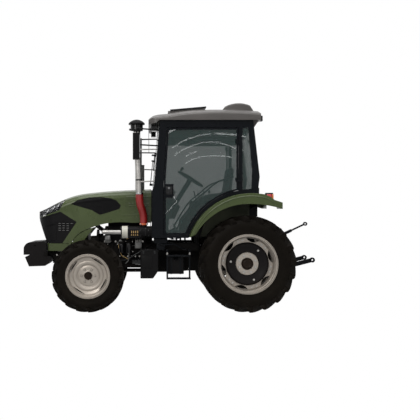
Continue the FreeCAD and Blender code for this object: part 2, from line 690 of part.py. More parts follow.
def lift_rods():
    """Two adjustable rods that hang from the lift arms."""
    rods = []
    foot = (ROD_FOOT_X, rod_foot_z())
    dx = foot[0] - LIFT_PIN_X
    dz = foot[1] - LIFT_PIN_Z
    length = math.hypot(dx, dz)
    stop = 1 - (32 + 14) / length
    knee = (LIFT_PIN_X + dx * stop, LIFT_PIN_Z + dz * stop)
    for s in (-1, 1):
        y = s * ROD_Y
        eye = cylinder_y(LIFT_PIN_X, LIFT_PIN_Z, y - 16, y + 16, 30)
        bar = rod((LIFT_PIN_X, y, LIFT_PIN_Z), (knee[0], y, knee[1]), 14)
        sleeve_top = (LIFT_PIN_X + dx * 0.3, y, LIFT_PIN_Z + dz * 0.3)
        sleeve_end = (LIFT_PIN_X + dx * 0.62, y, LIFT_PIN_Z + dz * 0.62)
        piece = joined([eye, bar, rod(sleeve_top, sleeve_end, 22)])
        rods.append(piece.cut(cylinder_y(LIFT_PIN_X, LIFT_PIN_Z, y - 20, y + 20, 14 + FIT_GAP)))
    return rods


LINK_THICK = 24.0


def lower_links():
    """Two lower links with a ball eye at the rear, which carry an implement."""
    links = []
    for s in (-1, 1):
        y = s * LINK_FRONT_Y + s * 12
        front = (LINK_PIVOT_X, LINK_PIVOT_Z)
        back = (LINK_BALL_X, LINK_BALL_Z)
        link = strap(front, back, 34, 30, y - LINK_THICK / 2, y + LINK_THICK / 2)
        eye = cylinder_y(back[0], back[1], y - 22, y + 22, LINK_EYE_R)
        seat_y = s * (LINK_LUG_Y + FIT_GAP)
        stay = cylinder_y(front[0], front[1], min(seat_y, y), max(seat_y, y), 24)
        link = joined([link, eye, stay])
        links.append(link.cut(cylinder_y(back[0], back[1], y - 30, y + 30, LINK_BORE_R)))
    return links


TOP_EYE_R = 29.0
LINK_BORE_R = 14.3
TOP_BORE_R = 12.9


def top_link():
    """Screw link with an eye at each end."""
    a = V(TOP_PIN_X, 0, TOP_PIN_Z)
    b = V(TOP_BALL_X, 0, TOP_BALL_Z)
    along = b - a
    inset = (TOP_EYE_R - 7) / along.Length
    bar = rod(a + along * inset, b - along * inset, 13)
    sleeve = rod(a + along * 0.3, a + along * 0.7, 22)
    eye_a = cylinder_y(a.x, a.z, -TOP_EYE_Y, TOP_EYE_Y, TOP_EYE_R)
    eye_b = cylinder_y(b.x, b.z, -TOP_EYE_Y, TOP_EYE_Y, TOP_EYE_R)
    link = joined([bar, sleeve, eye_a, eye_b])
    link = link.cut(cylinder_y(a.x, a.z, -40, 40, TOP_PIN_R + FIT_GAP))
    return link.cut(cylinder_y(b.x, b.z, -40, 40, TOP_BORE_R))


# ---------------------------------------------------------------- hood
# Stations of the hood: x, half width, height of the crown
HOOD_STATIONS = [(200, 332, 1741), (500, 332, 1724), (880, 332, 1704), (1155, 328, 1679),
                 (1370, 318, 1644), (1560, 300, 1580), (1950, 262, 1393)]
CHIN_X = CARRIER_X0 - 8.0
CHIN_Z = 826.0
BROW_X = 1938.0
APRON_TOP_Z = 935.0
HOOD_SHOULDER = 118.0
HOOD_CROWN = 26.0


def hood_section(x, half, crown, inset):
    """One cross-section of the hood, open to nothing: a closed outline with round shoulders."""
    w = half - inset
    top = crown - inset
    low = 700.0
    side = top - HOOD_CROWN - HOOD_SHOULDER
    lean = 16.0
    tilt = 0.72
    mid_y = w - lean - HOOD_SHOULDER * (1 - tilt) * 0.55
    mid_z = side + HOOD_SHOULDER * tilt
    deck_y = w - lean - HOOD_SHOULDER * 0.85
    deck_z = top - HOOD_CROWN * 0.9
    points = [(-w, low), (-w + lean, side), ((-mid_y, mid_z), (-deck_y, deck_z)),
              ((0, top), (deck_y, deck_z)), ((mid_y, mid_z), (w - lean, side)), (w, low)]
    return wire(points, lambda p: V(x, p[0], p[1]))


def hood_solid(inset):
    """Full form of the hood down to its lower edge, drawn in by the skin when inset is set."""
    sections = [hood_section(x, w, top, inset) for x, w, top in HOOD_STATIONS]
    body = Part.makeLoft(sections, True, False)
    back = HOOD_REAR_X if inset == 0 else HOOD_REAR_X - 50
    front = [(CHIN_X - inset, CHIN_Z), (CHIN_X + 4 - inset, 900), (BROW_X - 2 - inset, 1310),
             (BROW_X - inset, 1400), (BROW_X - inset, 1800), (back, 1800)]
    edge = [(back, 1238), (560, 1238), ((1020, 1206), (1286, 1103)), ((1388, 1010), (1440, 915)),
            (1466, 836), (1530, CHIN_Z)]
    if inset:
        edge = [(back, CHIN_Z - 50), (CHIN_X - inset, CHIN_Z - 50)]
    nose = edge + front
    profile = plate(nose, -500, 500)
    plan_half = HOOD_HALF_WIDTH - inset
    tip = BROW_X + 2 - inset
    rounding = plan([(back, -plan_half - 5), (1540, -plan_half - 5), (1700, -272 + inset),
                     ((1880, -160 + inset / 2), (tip, 0)), ((1880, 160 - inset / 2), (1700, 272 - inset)),
                     (1540, plan_half + 5), (back, plan_half + 5)], 700, 1900)
    return body.common(profile).common(rounding)


GRILLE_OUTLINE = [(1990, 1325), (1888, 1312), (1594, 1400), (1351, 1249), (1560, 942),
                  (1729, 921), (1990, 930)]
LAMP_OUTLINE = [(1990, 1440), (1560, 1640), (1530, 1568), (1607, 1424), (1888, 1316), (1990, 1329)]
VENT_OUTLINE = [(1430, 1509), (1338, 1563), (1169, 1601), (1003, 1610), (863, 1592),
                (776, 1560), (712, 1490), (732, 1445), (1009, 1359), (1111, 1416)]
LAMP_INNER_Y = 110.0
GRILLE_SLOT = (40.0, 9.0)       # length and height of one air slot
GRILLE_SLOT_PITCH = (60.0, 33.0)
GRILLE_SLOT_FRONT = (1603.0, 1228.0)    # middle of the top slot of the foremost column
GRILLE_SLOT_ROWS = 4
GRILLE_SLOT_COLUMNS = 4
GRILLE_EDGE_MARGIN = 21.0
GRILLE_SIDE_Y = 200.0


def grille_slots():
    """Cutters for the field of air slots in each side of the grille."""
    edge_top, edge_foot = GRILLE_OUTLINE[3], GRILLE_OUTLINE[4]
    slope = (edge_foot[0] - edge_top[0]) / (edge_top[1] - edge_foot[1])
    half, rise = GRILLE_SLOT[0] / 2, GRILLE_SLOT[1] / 2
    cutters = []
    for row in range(GRILLE_SLOT_ROWS):
        for column in range(GRILLE_SLOT_COLUMNS):
            x = GRILLE_SLOT_FRONT[0] - column * GRILLE_SLOT_PITCH[0]
            z = GRILLE_SLOT_FRONT[1] - row * GRILLE_SLOT_PITCH[1]
            edge = edge_top[0] + (edge_top[1] - z) * slope
            if x - half < edge + GRILLE_EDGE_MARGIN:
                continue
            slot = [(x - half, z - rise), (x + half, z - rise), (x + half, z + rise), (x - half, z + rise)]
            cutters += [plate(slot, GRILLE_SIDE_Y, 400), plate(slot, -400, -GRILLE_SIDE_Y)]
    return cutters


def hood_pieces():
    """Painted hood shell, black grille with its side vents, and the pair of headlamps."""
    shell = hood_solid(0).cut(hood_solid(HOOD_SKIN))
    grille_block = plate(GRILLE_OUTLINE, -400, 400)
    lamp_block = plate(LAMP_OUTLINE, -400, 400)
    vent_block = plate(VENT_OUTLINE, -400, 400)
    lamp_sides = [box(1500, 2000, LAMP_INNER_Y, 400, 1200, 1700),
                  box(1500, 2000, -400, -LAMP_INNER_Y, 1200, 1700)]
    lamps = [shell.common(lamp_block).common(side) for side in lamp_sides]
    trim = shell.common(lamp_block).common(box(1700, 2000, -LAMP_INNER_Y, LAMP_INNER_Y, 1200, 1700))
    grille = joined([shell.common(grille_block), trim]) if trim.Solids else shell.common(grille_block)
    for slot in grille_slots():
        grille = grille.cut(slot)
    vents = shell.common(vent_block)
    painted = shell.cut(grille_block).cut(vent_block)
    for piece in lamps + [trim]:
        if piece.Solids:
            painted = painted.cut(piece)
    painted = painted.cut(box(APRON_X, 2000, -400, 400, 0, APRON_TOP_Z + MOVE_GAP))
    grille = grille.cut(box(APRON_X, 2000, -400, 400, 0, APRON_TOP_Z + MOVE_GAP))
    ears = []
    for s in (-1, 1):
        y = s * HINGE_EAR_Y
        ear = plate([(HOOD_HINGE_X - 16, HOOD_HINGE_Z + 4), (HOOD_HINGE_X - 12, HOOD_HINGE_Z - 14),
                     (HOOD_HINGE_X + 14, HOOD_HINGE_Z - 14), (HOOD_HINGE_X + 60, 1724),
                     (HOOD_HINGE_X - 30, 1724)], y - HINGE_EAR_HALF, y + HINGE_EAR_HALF)
        ears.append(ear.common(hood_solid(HOOD_SKIN / 2)))
    painted = joined([painted] + ears)
    pin_bore = cylinder_y(HOOD_HINGE_X, HOOD_HINGE_Z, -HINGE_EAR_Y - 20, HINGE_EAR_Y + 20,
                          HINGE_PIN_R + FIT_GAP)
    return painted.cut(pin_bore), [grille, vents], lamps


APRON_X = 1474.0
APRON_FOOT = 160.0       # from the frame's end back to the apron's feet
FAIRING_Y = 312.0
HINGE_EAR_Y = 150.0
HINGE_EAR_HALF = 10.0
HINGE_EAR_DROP = 50.0    # of the bulkhead's top edge where the ears and the hood swing down
HINGE_PIN_R = 7.0


def nose_apron():
    """Fixed painted strip below the hood's nose, on two feet that stand on the bolster."""
    shell = hood_solid(0).cut(hood_solid(HOOD_SKIN))
    strip = shell.common(box(APRON_X + MOVE_GAP, 2000, -400, 400, 0, APRON_TOP_Z))
    x0 = FRAME_FRONT_X - APRON_FOOT
    x1 = x0 + 60
    floor = plan([(x0 - 20, -230), (x1 + 20, -230), (x1 + 20, 230), (x0 - 20, 230)],
                 CHIN_Z, CHIN_Z + 6)
    feet = [box(x0, x1, s * 90 - 20, s * 90 + 20, FRAME_TOP_Z + FIT_GAP, CHIN_Z + 3)
            for s in (-1, 1)]
    arms = [box(x0, x1, min(s * 225, s * 320), max(s * 225, s * 320), CHIN_Z, CHIN_Z + 6)
            for s in (-1, 1)]
    inside = hood_solid(HOOD_SKIN / 2)
    arms = [arm.common(inside) for arm in arms]
    return joined([strip, floor] + feet + [arm for arm in arms if arm.Solids])


def bulkhead():
    """Plate across the back of the engine bay that carries the hood's hinge pins."""
    x0 = HOOD_REAR_X + 6
    low = FLYWHEEL_Z + FLYWHEEL_R + MOVE_GAP
    collar = HINGE_EAR_Y - HINGE_EAR_HALF - 2
    dip = HOOD_HINGE_Z - HINGE_EAR_DROP
    top = [(-300, low), (-300, dip - 70), (-215, dip - 10), (-collar, dip), (-collar, HOOD_HINGE_Z),
           (collar, HOOD_HINGE_Z), (collar, dip), (215, dip - 10), (300, dip - 70), (300, low)]
    flat = wire(top, lambda p: V(x0, p[0], p[1]))
    sheet = Part.Face(flat).extrude(V(8, 0, 0))
    back = ENGINE_REAR_X - FIT_GAP
    foot = box(60, back, -150, 150, CLUTCH_TOP_Z + FIT_GAP, CLUTCH_TOP_Z + 22)
    riser = box(back - 12, back, -150, 150, CLUTCH_TOP_Z + FIT_GAP, low + 20)
    shelf = box(back - 12, x0 + 8, -150, 150, low, low + 20)
    pieces = [sheet, foot, riser, shelf]
    for s in (-1, 1):
        y = s * (collar - 6)
        pieces.append(box(x0 + 2, HOOD_HINGE_X + 4, y - 6, y + 6, HOOD_HINGE_Z - 60, HOOD_HINGE_Z))
        pieces.append(cylinder_y(HOOD_HINGE_X, HOOD_HINGE_Z, y - 6, y + 6, 11))
        pin = sorted((y, s * (HINGE_EAR_Y + HINGE_EAR_HALF + 2)))
        pieces.append(cylinder_y(HOOD_HINGE_X, HOOD_HINGE_Z, pin[0], pin[1], HINGE_PIN_R))
    whole = joined(pieces)
    notch = rod((x0 - 100, CANISTER_Y, CANISTER_Z), (x0 + 100, CANISTER_Y, CANISTER_Z), CANISTER_R + 20)
    return whole.cut(notch)


def side_fairings():
    """Fixed panels that close the gap behind the hood's lower edge, above the front axle."""
    outline = [(1452, 862), (1430, 915), ((1384, 1002), (1282, 1094)),
               ((1200, 1136), (1100, 1164)), ((1186, 1060), (1264, 956)), (1423, 876)]
    panel = plate(outline, FAIRING_Y - 6, FAIRING_Y)
    bracket = box(1290, 1350, FRAME_HALF - 40, FAIRING_Y - 3, FRAME_TOP_Z + FIT_GAP, FRAME_TOP_Z + 12)
    riser = box(1290, 1350, FAIRING_Y - 12, FAIRING_Y - 3, FRAME_TOP_Z + FIT_GAP, 980)
    return both(joined([panel, bracket, riser]))


# ---------------------------------------------------------------- air intake and exhaust
CANISTER_Y = 430.0
CANISTER_Z = 1106.0
CANISTER_R = 88.0
CANISTER_X0 = 190.0
CANISTER_X1 = 700.0
STACK_Y = 478.0
STACK_R = 47.0
STACK_FOOT = (434.0, STACK_Y, 1668.0)
STACK_TOP = (470.0, STACK_Y, 2560.0)
HOSE_R = 54.0
HOSE_FOOT = (372.0, CANISTER_Y, CANISTER_Z + 108.0)


def air_cleaner():
    """Canister beside the engine, its bracket, and the domed pre-cleaner on top of the stack."""
    can = rod((CANISTER_X0, CANISTER_Y, CANISTER_Z), (CANISTER_X1, CANISTER_Y, CANISTER_Z), CANISTER_R)
    neck = rod((HOSE_FOOT[0], CANISTER_Y, CANISTER_Z), HOSE_FOOT, HOSE_R - 6)
    strap_box = box(420, 470, ENGINE_HALF_WIDTH - 20, CANISTER_Y, CANISTER_Z - 60, CANISTER_Z - 30)
    x, y, z = STACK_TOP
    collar = Part.makeCylinder(84, 92, V(x, y, z + FIT_GAP))
    dome = Part.makeSphere(150, V(x + 3, y, z + 10)).common(
        Part.makeCylinder(116, 90, V(x + 3, y, z + 88)))
    return [joined([can, neck, strap_box]), joined([collar, dome])]


def intake_pipe():
    """Steel stack, with its stay to the cab pillar and the elbow that leads to the engine."""
    lean = V(STACK_TOP[0] - STACK_FOOT[0], 0, STACK_TOP[2] - STACK_FOOT[2])
    over = lean * (20 / lean.Length)
    stack = rod(tuple(V(*STACK_FOOT) - over), tuple(V(*STACK_TOP) + over), STACK_R)
    stack = stack.common(box(300, 600, STACK_Y - 100, STACK_Y + 100, STACK_FOOT[2], STACK_TOP[2]))
    clamp_z = 1828.0
    clamp_x = STACK_FOOT[0] + (STACK_TOP[0] - STACK_FOOT[0]) * (
        (clamp_z - STACK_FOOT[2]) / (STACK_TOP[2] - STACK_FOOT[2]))
    clamp = Part.makeCylinder(STACK_R + 6, 22, V(clamp_x, STACK_Y, clamp_z - 11))
    stay = rod((clamp_x, STACK_Y + 30, clamp_z),
               (pillar_front(clamp_z) - 5, CAB_HALF_WIDTH - CAB_WALL / 2, clamp_z + 6), 9)
    upper_z = 2290.0
    upper_x = clamp_x + (STACK_TOP[0] - STACK_FOOT[0]) * (
        (upper_z - clamp_z) / (STACK_TOP[2] - STACK_FOOT[2]))
    upper = rod((upper_x, STACK_Y + 20, upper_z),
                (pillar_front(upper_z) - 5, CAB_HALF_WIDTH - CAB_WALL / 2, upper_z - 6), 9)
    return joined([stack, clamp, stay, upper]).cut(pillar_room())


def intake_elbow():
    """Bright pipe that leaves the canister forwards and turns in to the engine."""
    x0 = CANISTER_X1 + FIT_GAP
    x1 = 952.0
    run = rod((x0, CANISTER_Y, CANISTER_Z), (x1, CANISTER_Y, CANISTER_Z), 29)
    knee = Part.makeSphere(29, V(x1, CANISTER_Y, CANISTER_Z))
    turn = rod((x1, CANISTER_Y, CANISTER_Z), (x1 - 20, ENGINE_HALF_WIDTH - 40, CANISTER_Z + 30), 29)
    elbow = joined([run, knee, turn])
    return elbow.cut(box(x1 - 200, x1 + 100, 0, HEAD_Y + FIT_GAP, 1000, 1300))


HOSE_STRAIGHT = 60.0


def intake_hose():
    """Red rubber hose: an S of two equal arcs between two upright ends."""
    foot = V(HOSE_FOOT[0], HOSE_FOOT[1], HOSE_FOOT[2] + FIT_GAP)
    top = V(STACK_FOOT[0], STACK_FOOT[1], STACK_FOOT[2] - FIT_GAP)
    low = foot + Z_AXIS * HOSE_STRAIGHT
    high = top - Z_AXIS * HOSE_STRAIGHT
    rise = high.z - low.z
    aside = V(high.x - low.x, high.y - low.y, 0)
    angle = 2 * math.atan(aside.Length / rise)
    bend = rise / (2 * math.sin(angle))
    aside.normalize()

    def along(turn):
        return Z_AXIS * (bend * math.sin(turn)) + aside * (bend * (1 - math.cos(turn)))

    middle = low + along(angle)
    path = Part.Wire([Part.LineSegment(foot, low).toShape(),
                      Part.Arc(low, low + along(angle / 2), middle).toShape(),
                      Part.Arc(middle, high - along(angle / 2), high).toShape(),
                      Part.LineSegment(high, top).toShape()])
    start = Part.Wire(Part.Circle(foot, Z_AXIS, HOSE_R).toShape())
    return path.makePipeShell([start], True, True)


def exhaust():
    """Upright silencer and tail pipe on the right, fed from below the hood's edge."""
    x = 440.0
    y = -STACK_Y
    feed = rod((x + 160, -ENGINE_HALF_WIDTH + 60, 1120), (x, y, 1200), 32)
    feed = feed.cut(box(x, x + 300, -ENGINE_HALF_WIDTH + 30 - FIT_GAP, 0, 1000, 1300))
    riser = rod((x, y, 1180), (x, y, 2560), 32)
    silencer = rod((x, y, 1460), (x, y, 2120), 72)
    stay = rod((x, y - 30, 2060), (pillar_front(2060) - 5, -CAB_HALF_WIDTH + CAB_WALL / 2, 2060), 9)
    pipe = joined([feed, riser, silencer, stay]).cut(flipped(pillar_room()))
    slant = Part.makeBox(200, 200, 100, V(x - 100, y - 100, 2540))
    slant.rotate(V(x, y, 2540), Y_AXIS, 20)
    return pipe.cut(slant)


# ---------------------------------------------------------------- cab
def fender_curve(radius):
    """Outer edge of the fender in side view, from the front foot round and back to the tail."""
    start = math.radians(18.7)
    middle = math.radians(58.0)
    top = math.radians(97.0)

    def at(angle):
        return (FENDER_ARC_X + radius * math.cos(angle), FENDER_ARC_Z + radius * math.sin(angle))

    return [at(start), (at(middle), at(top)),
            ((FENDER_ARC_X - 220, FENDER_ARC_Z + radius - 31), (TAIL_X, FENDER_ARC_Z + radius - 93))]


FENDER_ARC_X = REAR_AXLE_X - FENDER_ARC_BACK
FENDER_ARC_Z = REAR_TYRE_R + FENDER_ARC_RISE
TAIL_X = -1436.0
TAIL_TIP_X = -1548.0
TAIL_TIP_Z = 1440.0
TAIL_TIP_DEPTH = 90.0


def fender_form(y0, y1, inset, drop):
    """Solid form of a fender between two widths: the band under its outer curve."""
    low = FENDER_LOW_R - drop
    x = REAR_AXLE_X
    z = REAR_TYRE_R

    def at(degrees):
        angle = math.radians(degrees)
        return (x + low * math.cos(angle), z + low * math.sin(angle))

    points = fender_curve(FENDER_R - inset)
    points += [(TAIL_TIP_X + inset, TAIL_TIP_Z + TAIL_TIP_DEPTH - inset), (TAIL_TIP_X + inset, TAIL_TIP_Z - drop),
               ((x - 230, z + low - 14), at(88)), (at(58), at(30))]
    return plate(points, y0, y1)


def fender():
    """Left rear fender: a top plate over the tyre with a deep outer lip."""
    outer = fender_form(FENDER_INNER_Y, FENDER_OUTER_Y, 0, 0)
    inner = fender_form(FENDER_INNER_Y - 20, FENDER_OUTER_Y - FENDER_SKIN, FENDER_SKIN, 120)
    return outer.cut(inner)


DOOR_TOP_Z = 2584.0
SILL_CLEAR = 34.0
DOOR_LIFT = 24.0         # of the door's lower curve over the fender's, so that the open door clears it


def arc_over_fender(radius, x0, x1, lift=0.0):
    """Arc over the fender's outer edge, from x0 to x1, as the entry for an outline."""
    def at(x):
        return (x, FENDER_ARC_Z + lift + math.sqrt(radius ** 2 - (x - FENDER_ARC_X) ** 2))
    return at(x0), (at((x0 + x1) / 2), at(x1))


def door_outline(grow):
    """Door leaf in side view. It stands over the fender's curve; grow widens it for the opening."""
    r = FENDER_R + SILL_CLEAR - grow
    rear = DOOR_HINGE_X - 26 - grow
    foot_z = 1078.0 - grow
    foot_x = FENDER_ARC_X + math.sqrt(r ** 2 - (foot_z - FENDER_ARC_Z - DOOR_LIFT) ** 2)
    foot, arc = arc_over_fender(r, foot_x, rear, DOOR_LIFT)
    return [(40.0 + grow, DOOR_TOP_Z + grow), (86.0 + grow, 1862.0), (86.0 + grow, foot_z),
            foot, arc, (rear, DOOR_TOP_Z + grow)]


def quarter_outline(grow):
    """Narrow window behind the door."""
    front = DOOR_HINGE_X - 84 + grow
    r = FENDER_R + SILL_CLEAR + 26 - grow
    start, arc = arc_over_fender(r, front, -1150 - grow)
    return [(front, DOOR_TOP_Z + grow), start, arc, (-1160 - grow, 2000.0),
            (-1108 - grow, DOOR_TOP_Z + grow)]


def pillar_front(z, gap=0.0):
    """Front edge of the windscreen pillar at a height."""
    if z > 2600:
        return 150 - 4 * (z - 2600) / (ROOF_UNDER_Z - 2600) + gap
    return 226 - 76 * (z - 1760) / 840 + gap


def pillar_room():
    """Space of the left windscreen pillar and a seat's gap round it, to trim what is bolted on."""
    return plate([(pillar_front(2690, FIT_GAP), 2690), (pillar_front(2600, FIT_GAP), 2600),
                  (pillar_front(1760, FIT_GAP), 1760), (246 + FIT_GAP, 1724),
                  (CAB_FOOT_X + FIT_GAP, 1500), (0, 1500),
                  (0, 2690)], CAB_HALF_WIDTH - CAB_WALL - FIT_GAP, CAB_HALF_WIDTH + FIT_GAP)


HINGE_Z = (1860.0, 2400.0)
BARREL_R = 11.0
DOOR_PIN_R = 5.0
BARREL_HALF = 20.0
STRAP_REACH = 16.0
HINGE_Y = CAB_HALF_WIDTH + BARREL_R + 1


def cab_side():
    """Left side frame: pillars, header and sill as one pressing over the fender."""
    r = FENDER_R - 8
    foot_x = FENDER_ARC_X + math.sqrt(r ** 2 - (CAB_FLOOR_Z - FENDER_ARC_Z) ** 2)
    foot, arc = arc_over_fender(r, foot_x, FENDER_ARC_X)
    outline = [(146, ROOF_UNDER_Z), (150, 2600), (226, 1760), (246, 1724),
               (CAB_FOOT_X, CAB_FLOOR_Z), foot, arc,
               (CAB_REAR_X + 30, FENDER_ARC_Z + r - 4), (CAB_REAR_X, 1892), (-1172, ROOF_UNDER_Z)]
    y0 = CAB_HALF_WIDTH - CAB_WALL
    wall = plate(outline, y0, CAB_HALF_WIDTH)
    wall = wall.cut(plate(door_outline(MOVE_GAP), y0 - 10, CAB_HALF_WIDTH + 10))
    wall = wall.cut(plate(quarter_outline(0), y0 - 10, CAB_HALF_WIDTH + 10))
    wall = wall.cut(fender_form(y0 - 10, CAB_HALF_WIDTH + 10, -FIT_GAP, 300))
    tip_x, tip_z = fender_curve(FENDER_R)[0]
    wall = wall.cut(box(tip_x - 30, tip_x + MOVE_GAP, y0 - 10, CAB_HALF_WIDTH + 10,
                        CAB_FLOOR_Z - 1, tip_z + FIT_GAP))
    pieces = [wall]
    for z in HINGE_Z:
        low = z - BARREL_HALF - FIT_GAP - 24
        high = z - BARREL_HALF - FIT_GAP
        pieces.append(Part.makeCylinder(BARREL_R, high - low, V(DOOR_HINGE_X, HINGE_Y, low)))
        pieces.append(Part.makeCylinder(DOOR_PIN_R, 2 * BARREL_HALF + 10, V(DOOR_HINGE_X, HINGE_Y, high - 1)))
        pieces.append(box(DOOR_HINGE_X - 66, DOOR_HINGE_X, CAB_HALF_WIDTH - 2, HINGE_Y, low, high)
                      .cut(box(DOOR_HINGE_X - 26 - MOVE_GAP, DOOR_HINGE_X + 1, 0, CAB_HALF_WIDTH + 1,
                               low - 1, high + 1)))
    return joined(pieces)


def cab_frame():
    """The two side frames joined by the headers, the cowl and the rear sill."""
    y = CAB_HALF_WIDTH - CAB_WALL + 2
    front_header = box(60, 148, -y, y, 2610, ROOF_UNDER_Z)
    rear_header = plate([(-1172, ROOF_UNDER_Z), (-1192, 2560), (-1140, 2560), (-1110, ROOF_UNDER_Z)], -y, y)
    rear_sill = box(CAB_REAR_X, CAB_REAR_X + 46, -y, y, 1662, 1740)
    cowl = plate([(FRONT_WALL_X - 24, 1700), (CAB_FRONT_X - 14, 1700), (226, 1760), (FRONT_WALL_X - 24, 1760)],
                 -y, y)
    side = cab_side()
    return joined([side, flipped(side), front_header, rear_header, rear_sill, cowl])


WHEELHOUSE_SHEET = 14.0
FRONT_WALL_X = 164.0


def cab_floor():
    """Floor pan, front wall, rear deck and the inner walls beside the wheels, with four mounts."""
    half = CAB_HALF_WIDTH - CAB_WALL - FIT_GAP
    inner = CAB_INNER_HALF
    z1 = CAB_FLOOR_Z + CAB_FLOOR_SHEET
    foot_x = -222.0
    pan = box(foot_x, FRONT_WALL_X, -half, half, CAB_FLOOR_Z, z1)
    aft = box(-740, foot_x, -inner, inner, CAB_FLOOR_Z, z1)
    wall = box(FRONT_WALL_X - 24, FRONT_WALL_X, -half, half, CAB_FLOOR_Z, 1700 - FIT_GAP)
    riser = box(-740, -710, -inner, inner, CAB_FLOOR_Z, 1364)
    deck = box(CAB_REAR_X, -710, -inner, inner, 1334, 1364)
    back = box(CAB_REAR_X, CAB_REAR_X + 30, -half, half, 1334, 1662 - FIT_GAP)
    room = fender_form(FENDER_INNER_Y - FIT_GAP, FENDER_OUTER_Y, -FIT_GAP, 400)
    back = back.cut(room).cut(flipped(room))
    pieces = [pan, aft, wall, riser, deck, back]
    r = FENDER_R - FENDER_SKIN - FIT_GAP
    start, arc = arc_over_fender(r, -222.0 - 60, CAB_REAR_X + 20)
    side = plate([(foot_x - 60, CAB_FLOOR_Z), start, arc, (CAB_REAR_X, 1640), (CAB_REAR_X, 1334),
                  (-740, 1334), (-740, CAB_FLOOR_Z)], inner - WHEELHOUSE_SHEET, inner)
    cheek = box(foot_x - 60, foot_x, inner - WHEELHOUSE_SHEET, inner, CAB_FLOOR_Z, 1300)
    pieces += [side, flipped(side), cheek, flipped(cheek)]
    for x in (-390, 110):
        for s in (-1, 1):
            pieces.append(Part.makeCylinder(30, CAB_FLOOR_Z - RAIL_Z1 - FIT_GAP,
                                            V(x, s * 425, RAIL_Z1 + FIT_GAP)))
    return joined(pieces)


def cab_glass():
    """Windscreen, rear window and the two quarter windows."""
    half = CAB_HALF_WIDTH - CAB_WALL - FIT_GAP
    low_z = 1762.0
    high_z = 2609.0
    bulge = 24.0

    def bow(x, z, inset):
        return wire([(x - inset, -half), ((x + bulge - inset, 0), (x - inset, half)),
                     (x - inset - GLASS, half), ((x + bulge - inset - GLASS, 0), (x - inset - GLASS, -half))],
                    lambda p: V(p[0], p[1], z))

    screen = Part.makeLoft([bow(224, low_z, 0), bow(152, high_z, 0)], True, True)
    rear = plate([(CAB_REAR_X + 12, 1741), (CAB_REAR_X + 12 + GLASS, 1741), (CAB_REAR_X + 18 + GLASS, 1892),
                  (-1186 + 14 + GLASS, 2559), (-1186 + 14, 2559), (CAB_REAR_X + 18, 1892)], -half, half)
    quarter = plate(quarter_outline(-FIT_GAP), CAB_HALF_WIDTH - 26, CAB_HALF_WIDTH - 26 + GLASS)
    return [screen, rear] + both(quarter)


HANDLE_X = 58.0
HANDLE_Z = 1730.0


def door():
    """Left door: a frame of one closed rail, hinge barrels at the rear edge and the lock box."""
    y1 = CAB_HALF_WIDTH
    y0 = y1 - DOOR_SHEET
    leaf = plate(door_outline(0), y0, y1)
    ring = leaf.cut(plate(door_outline(-DOOR_RAIL), y0 - 5, y1 + 5))
    lock = box(HANDLE_X - 103, HANDLE_X + 20, y1 - 4, y1 + 26, HANDLE_Z - 130, HANDLE_Z + 60)
    pieces = [ring, lock]
    for z in HINGE_Z:
        pieces.append(Part.makeCylinder(BARREL_R, 2 * BARREL_HALF, V(DOOR_HINGE_X, HINGE_Y, z - BARREL_HALF)))
        pieces.append(box(DOOR_HINGE_X - STRAP_REACH, DOOR_HINGE_X + STRAP_REACH, y1 - 2, HINGE_Y,
                          z - BARREL_HALF, z + BARREL_HALF))
    whole = joined(pieces)
    for z in HINGE_Z:
        whole = whole.cut(Part.makeCylinder(DOOR_PIN_R + FIT_GAP, 200, V(DOOR_HINGE_X, HINGE_Y, z - 100)))
    return whole


def door_glass():
    mid = CAB_HALF_WIDTH - DOOR_SHEET / 2
    pane = plate(door_outline(-DOOR_RAIL - FIT_GAP), mid - GLASS / 2, mid + GLASS / 2)
    return pane


# Stations of the roof: x, height at the shoulder, height of the crown
ROOF_STATIONS = [(304, 2690, 2752), (262, 2716, 2798), (100, 2745, 2842), (-87, 2770, 2868),
                 (-476, 2808, 2906), (-900, 2810, 2908), (-1276, 2790, 2886)]
ROOF_CORNER = 130.0
HATCH_X0 = -470.0
HATCH_X1 = -60.0
HATCH_HALF = 210.0
HATCH_BACK_X = -541.0
HATCH_HINGE_X = 4.0
HATCH_HINGE_Z = 2886.0


def roof_section(x, shoulder, crown):
    """One cross-section of the roof, with round shoulders."""
    half = ROOF_HALF_WIDTH
    low = 2600.0
    points = [(-half, low), (-half, shoulder - 40), ((-half + 14, shoulder - 12), (-half + 52, shoulder)),
              ((0, crown), (half - 52, shoulder)), ((half - 14, shoulder - 12), (half, shoulder - 40)),
              (half, low)]
    return wire(points, lambda p: V(x, p[0], p[1]))


ROOF_REAR_X = -1276.0
WORK_LAMP_Y = 430.0


def roof_under(gap):
    """Everything above the roof's underside, with its visor lip in front of the windscreen."""
    return plate([(320, 2650 + gap), (270, 2638 + gap), (190, 2655 + gap),
                  (154, ROOF_UNDER_Z + FIT_GAP + gap), (-1290, ROOF_UNDER_Z + FIT_GAP + gap),
                  (-1290, 3100), (320, 3100)], -800, 800)


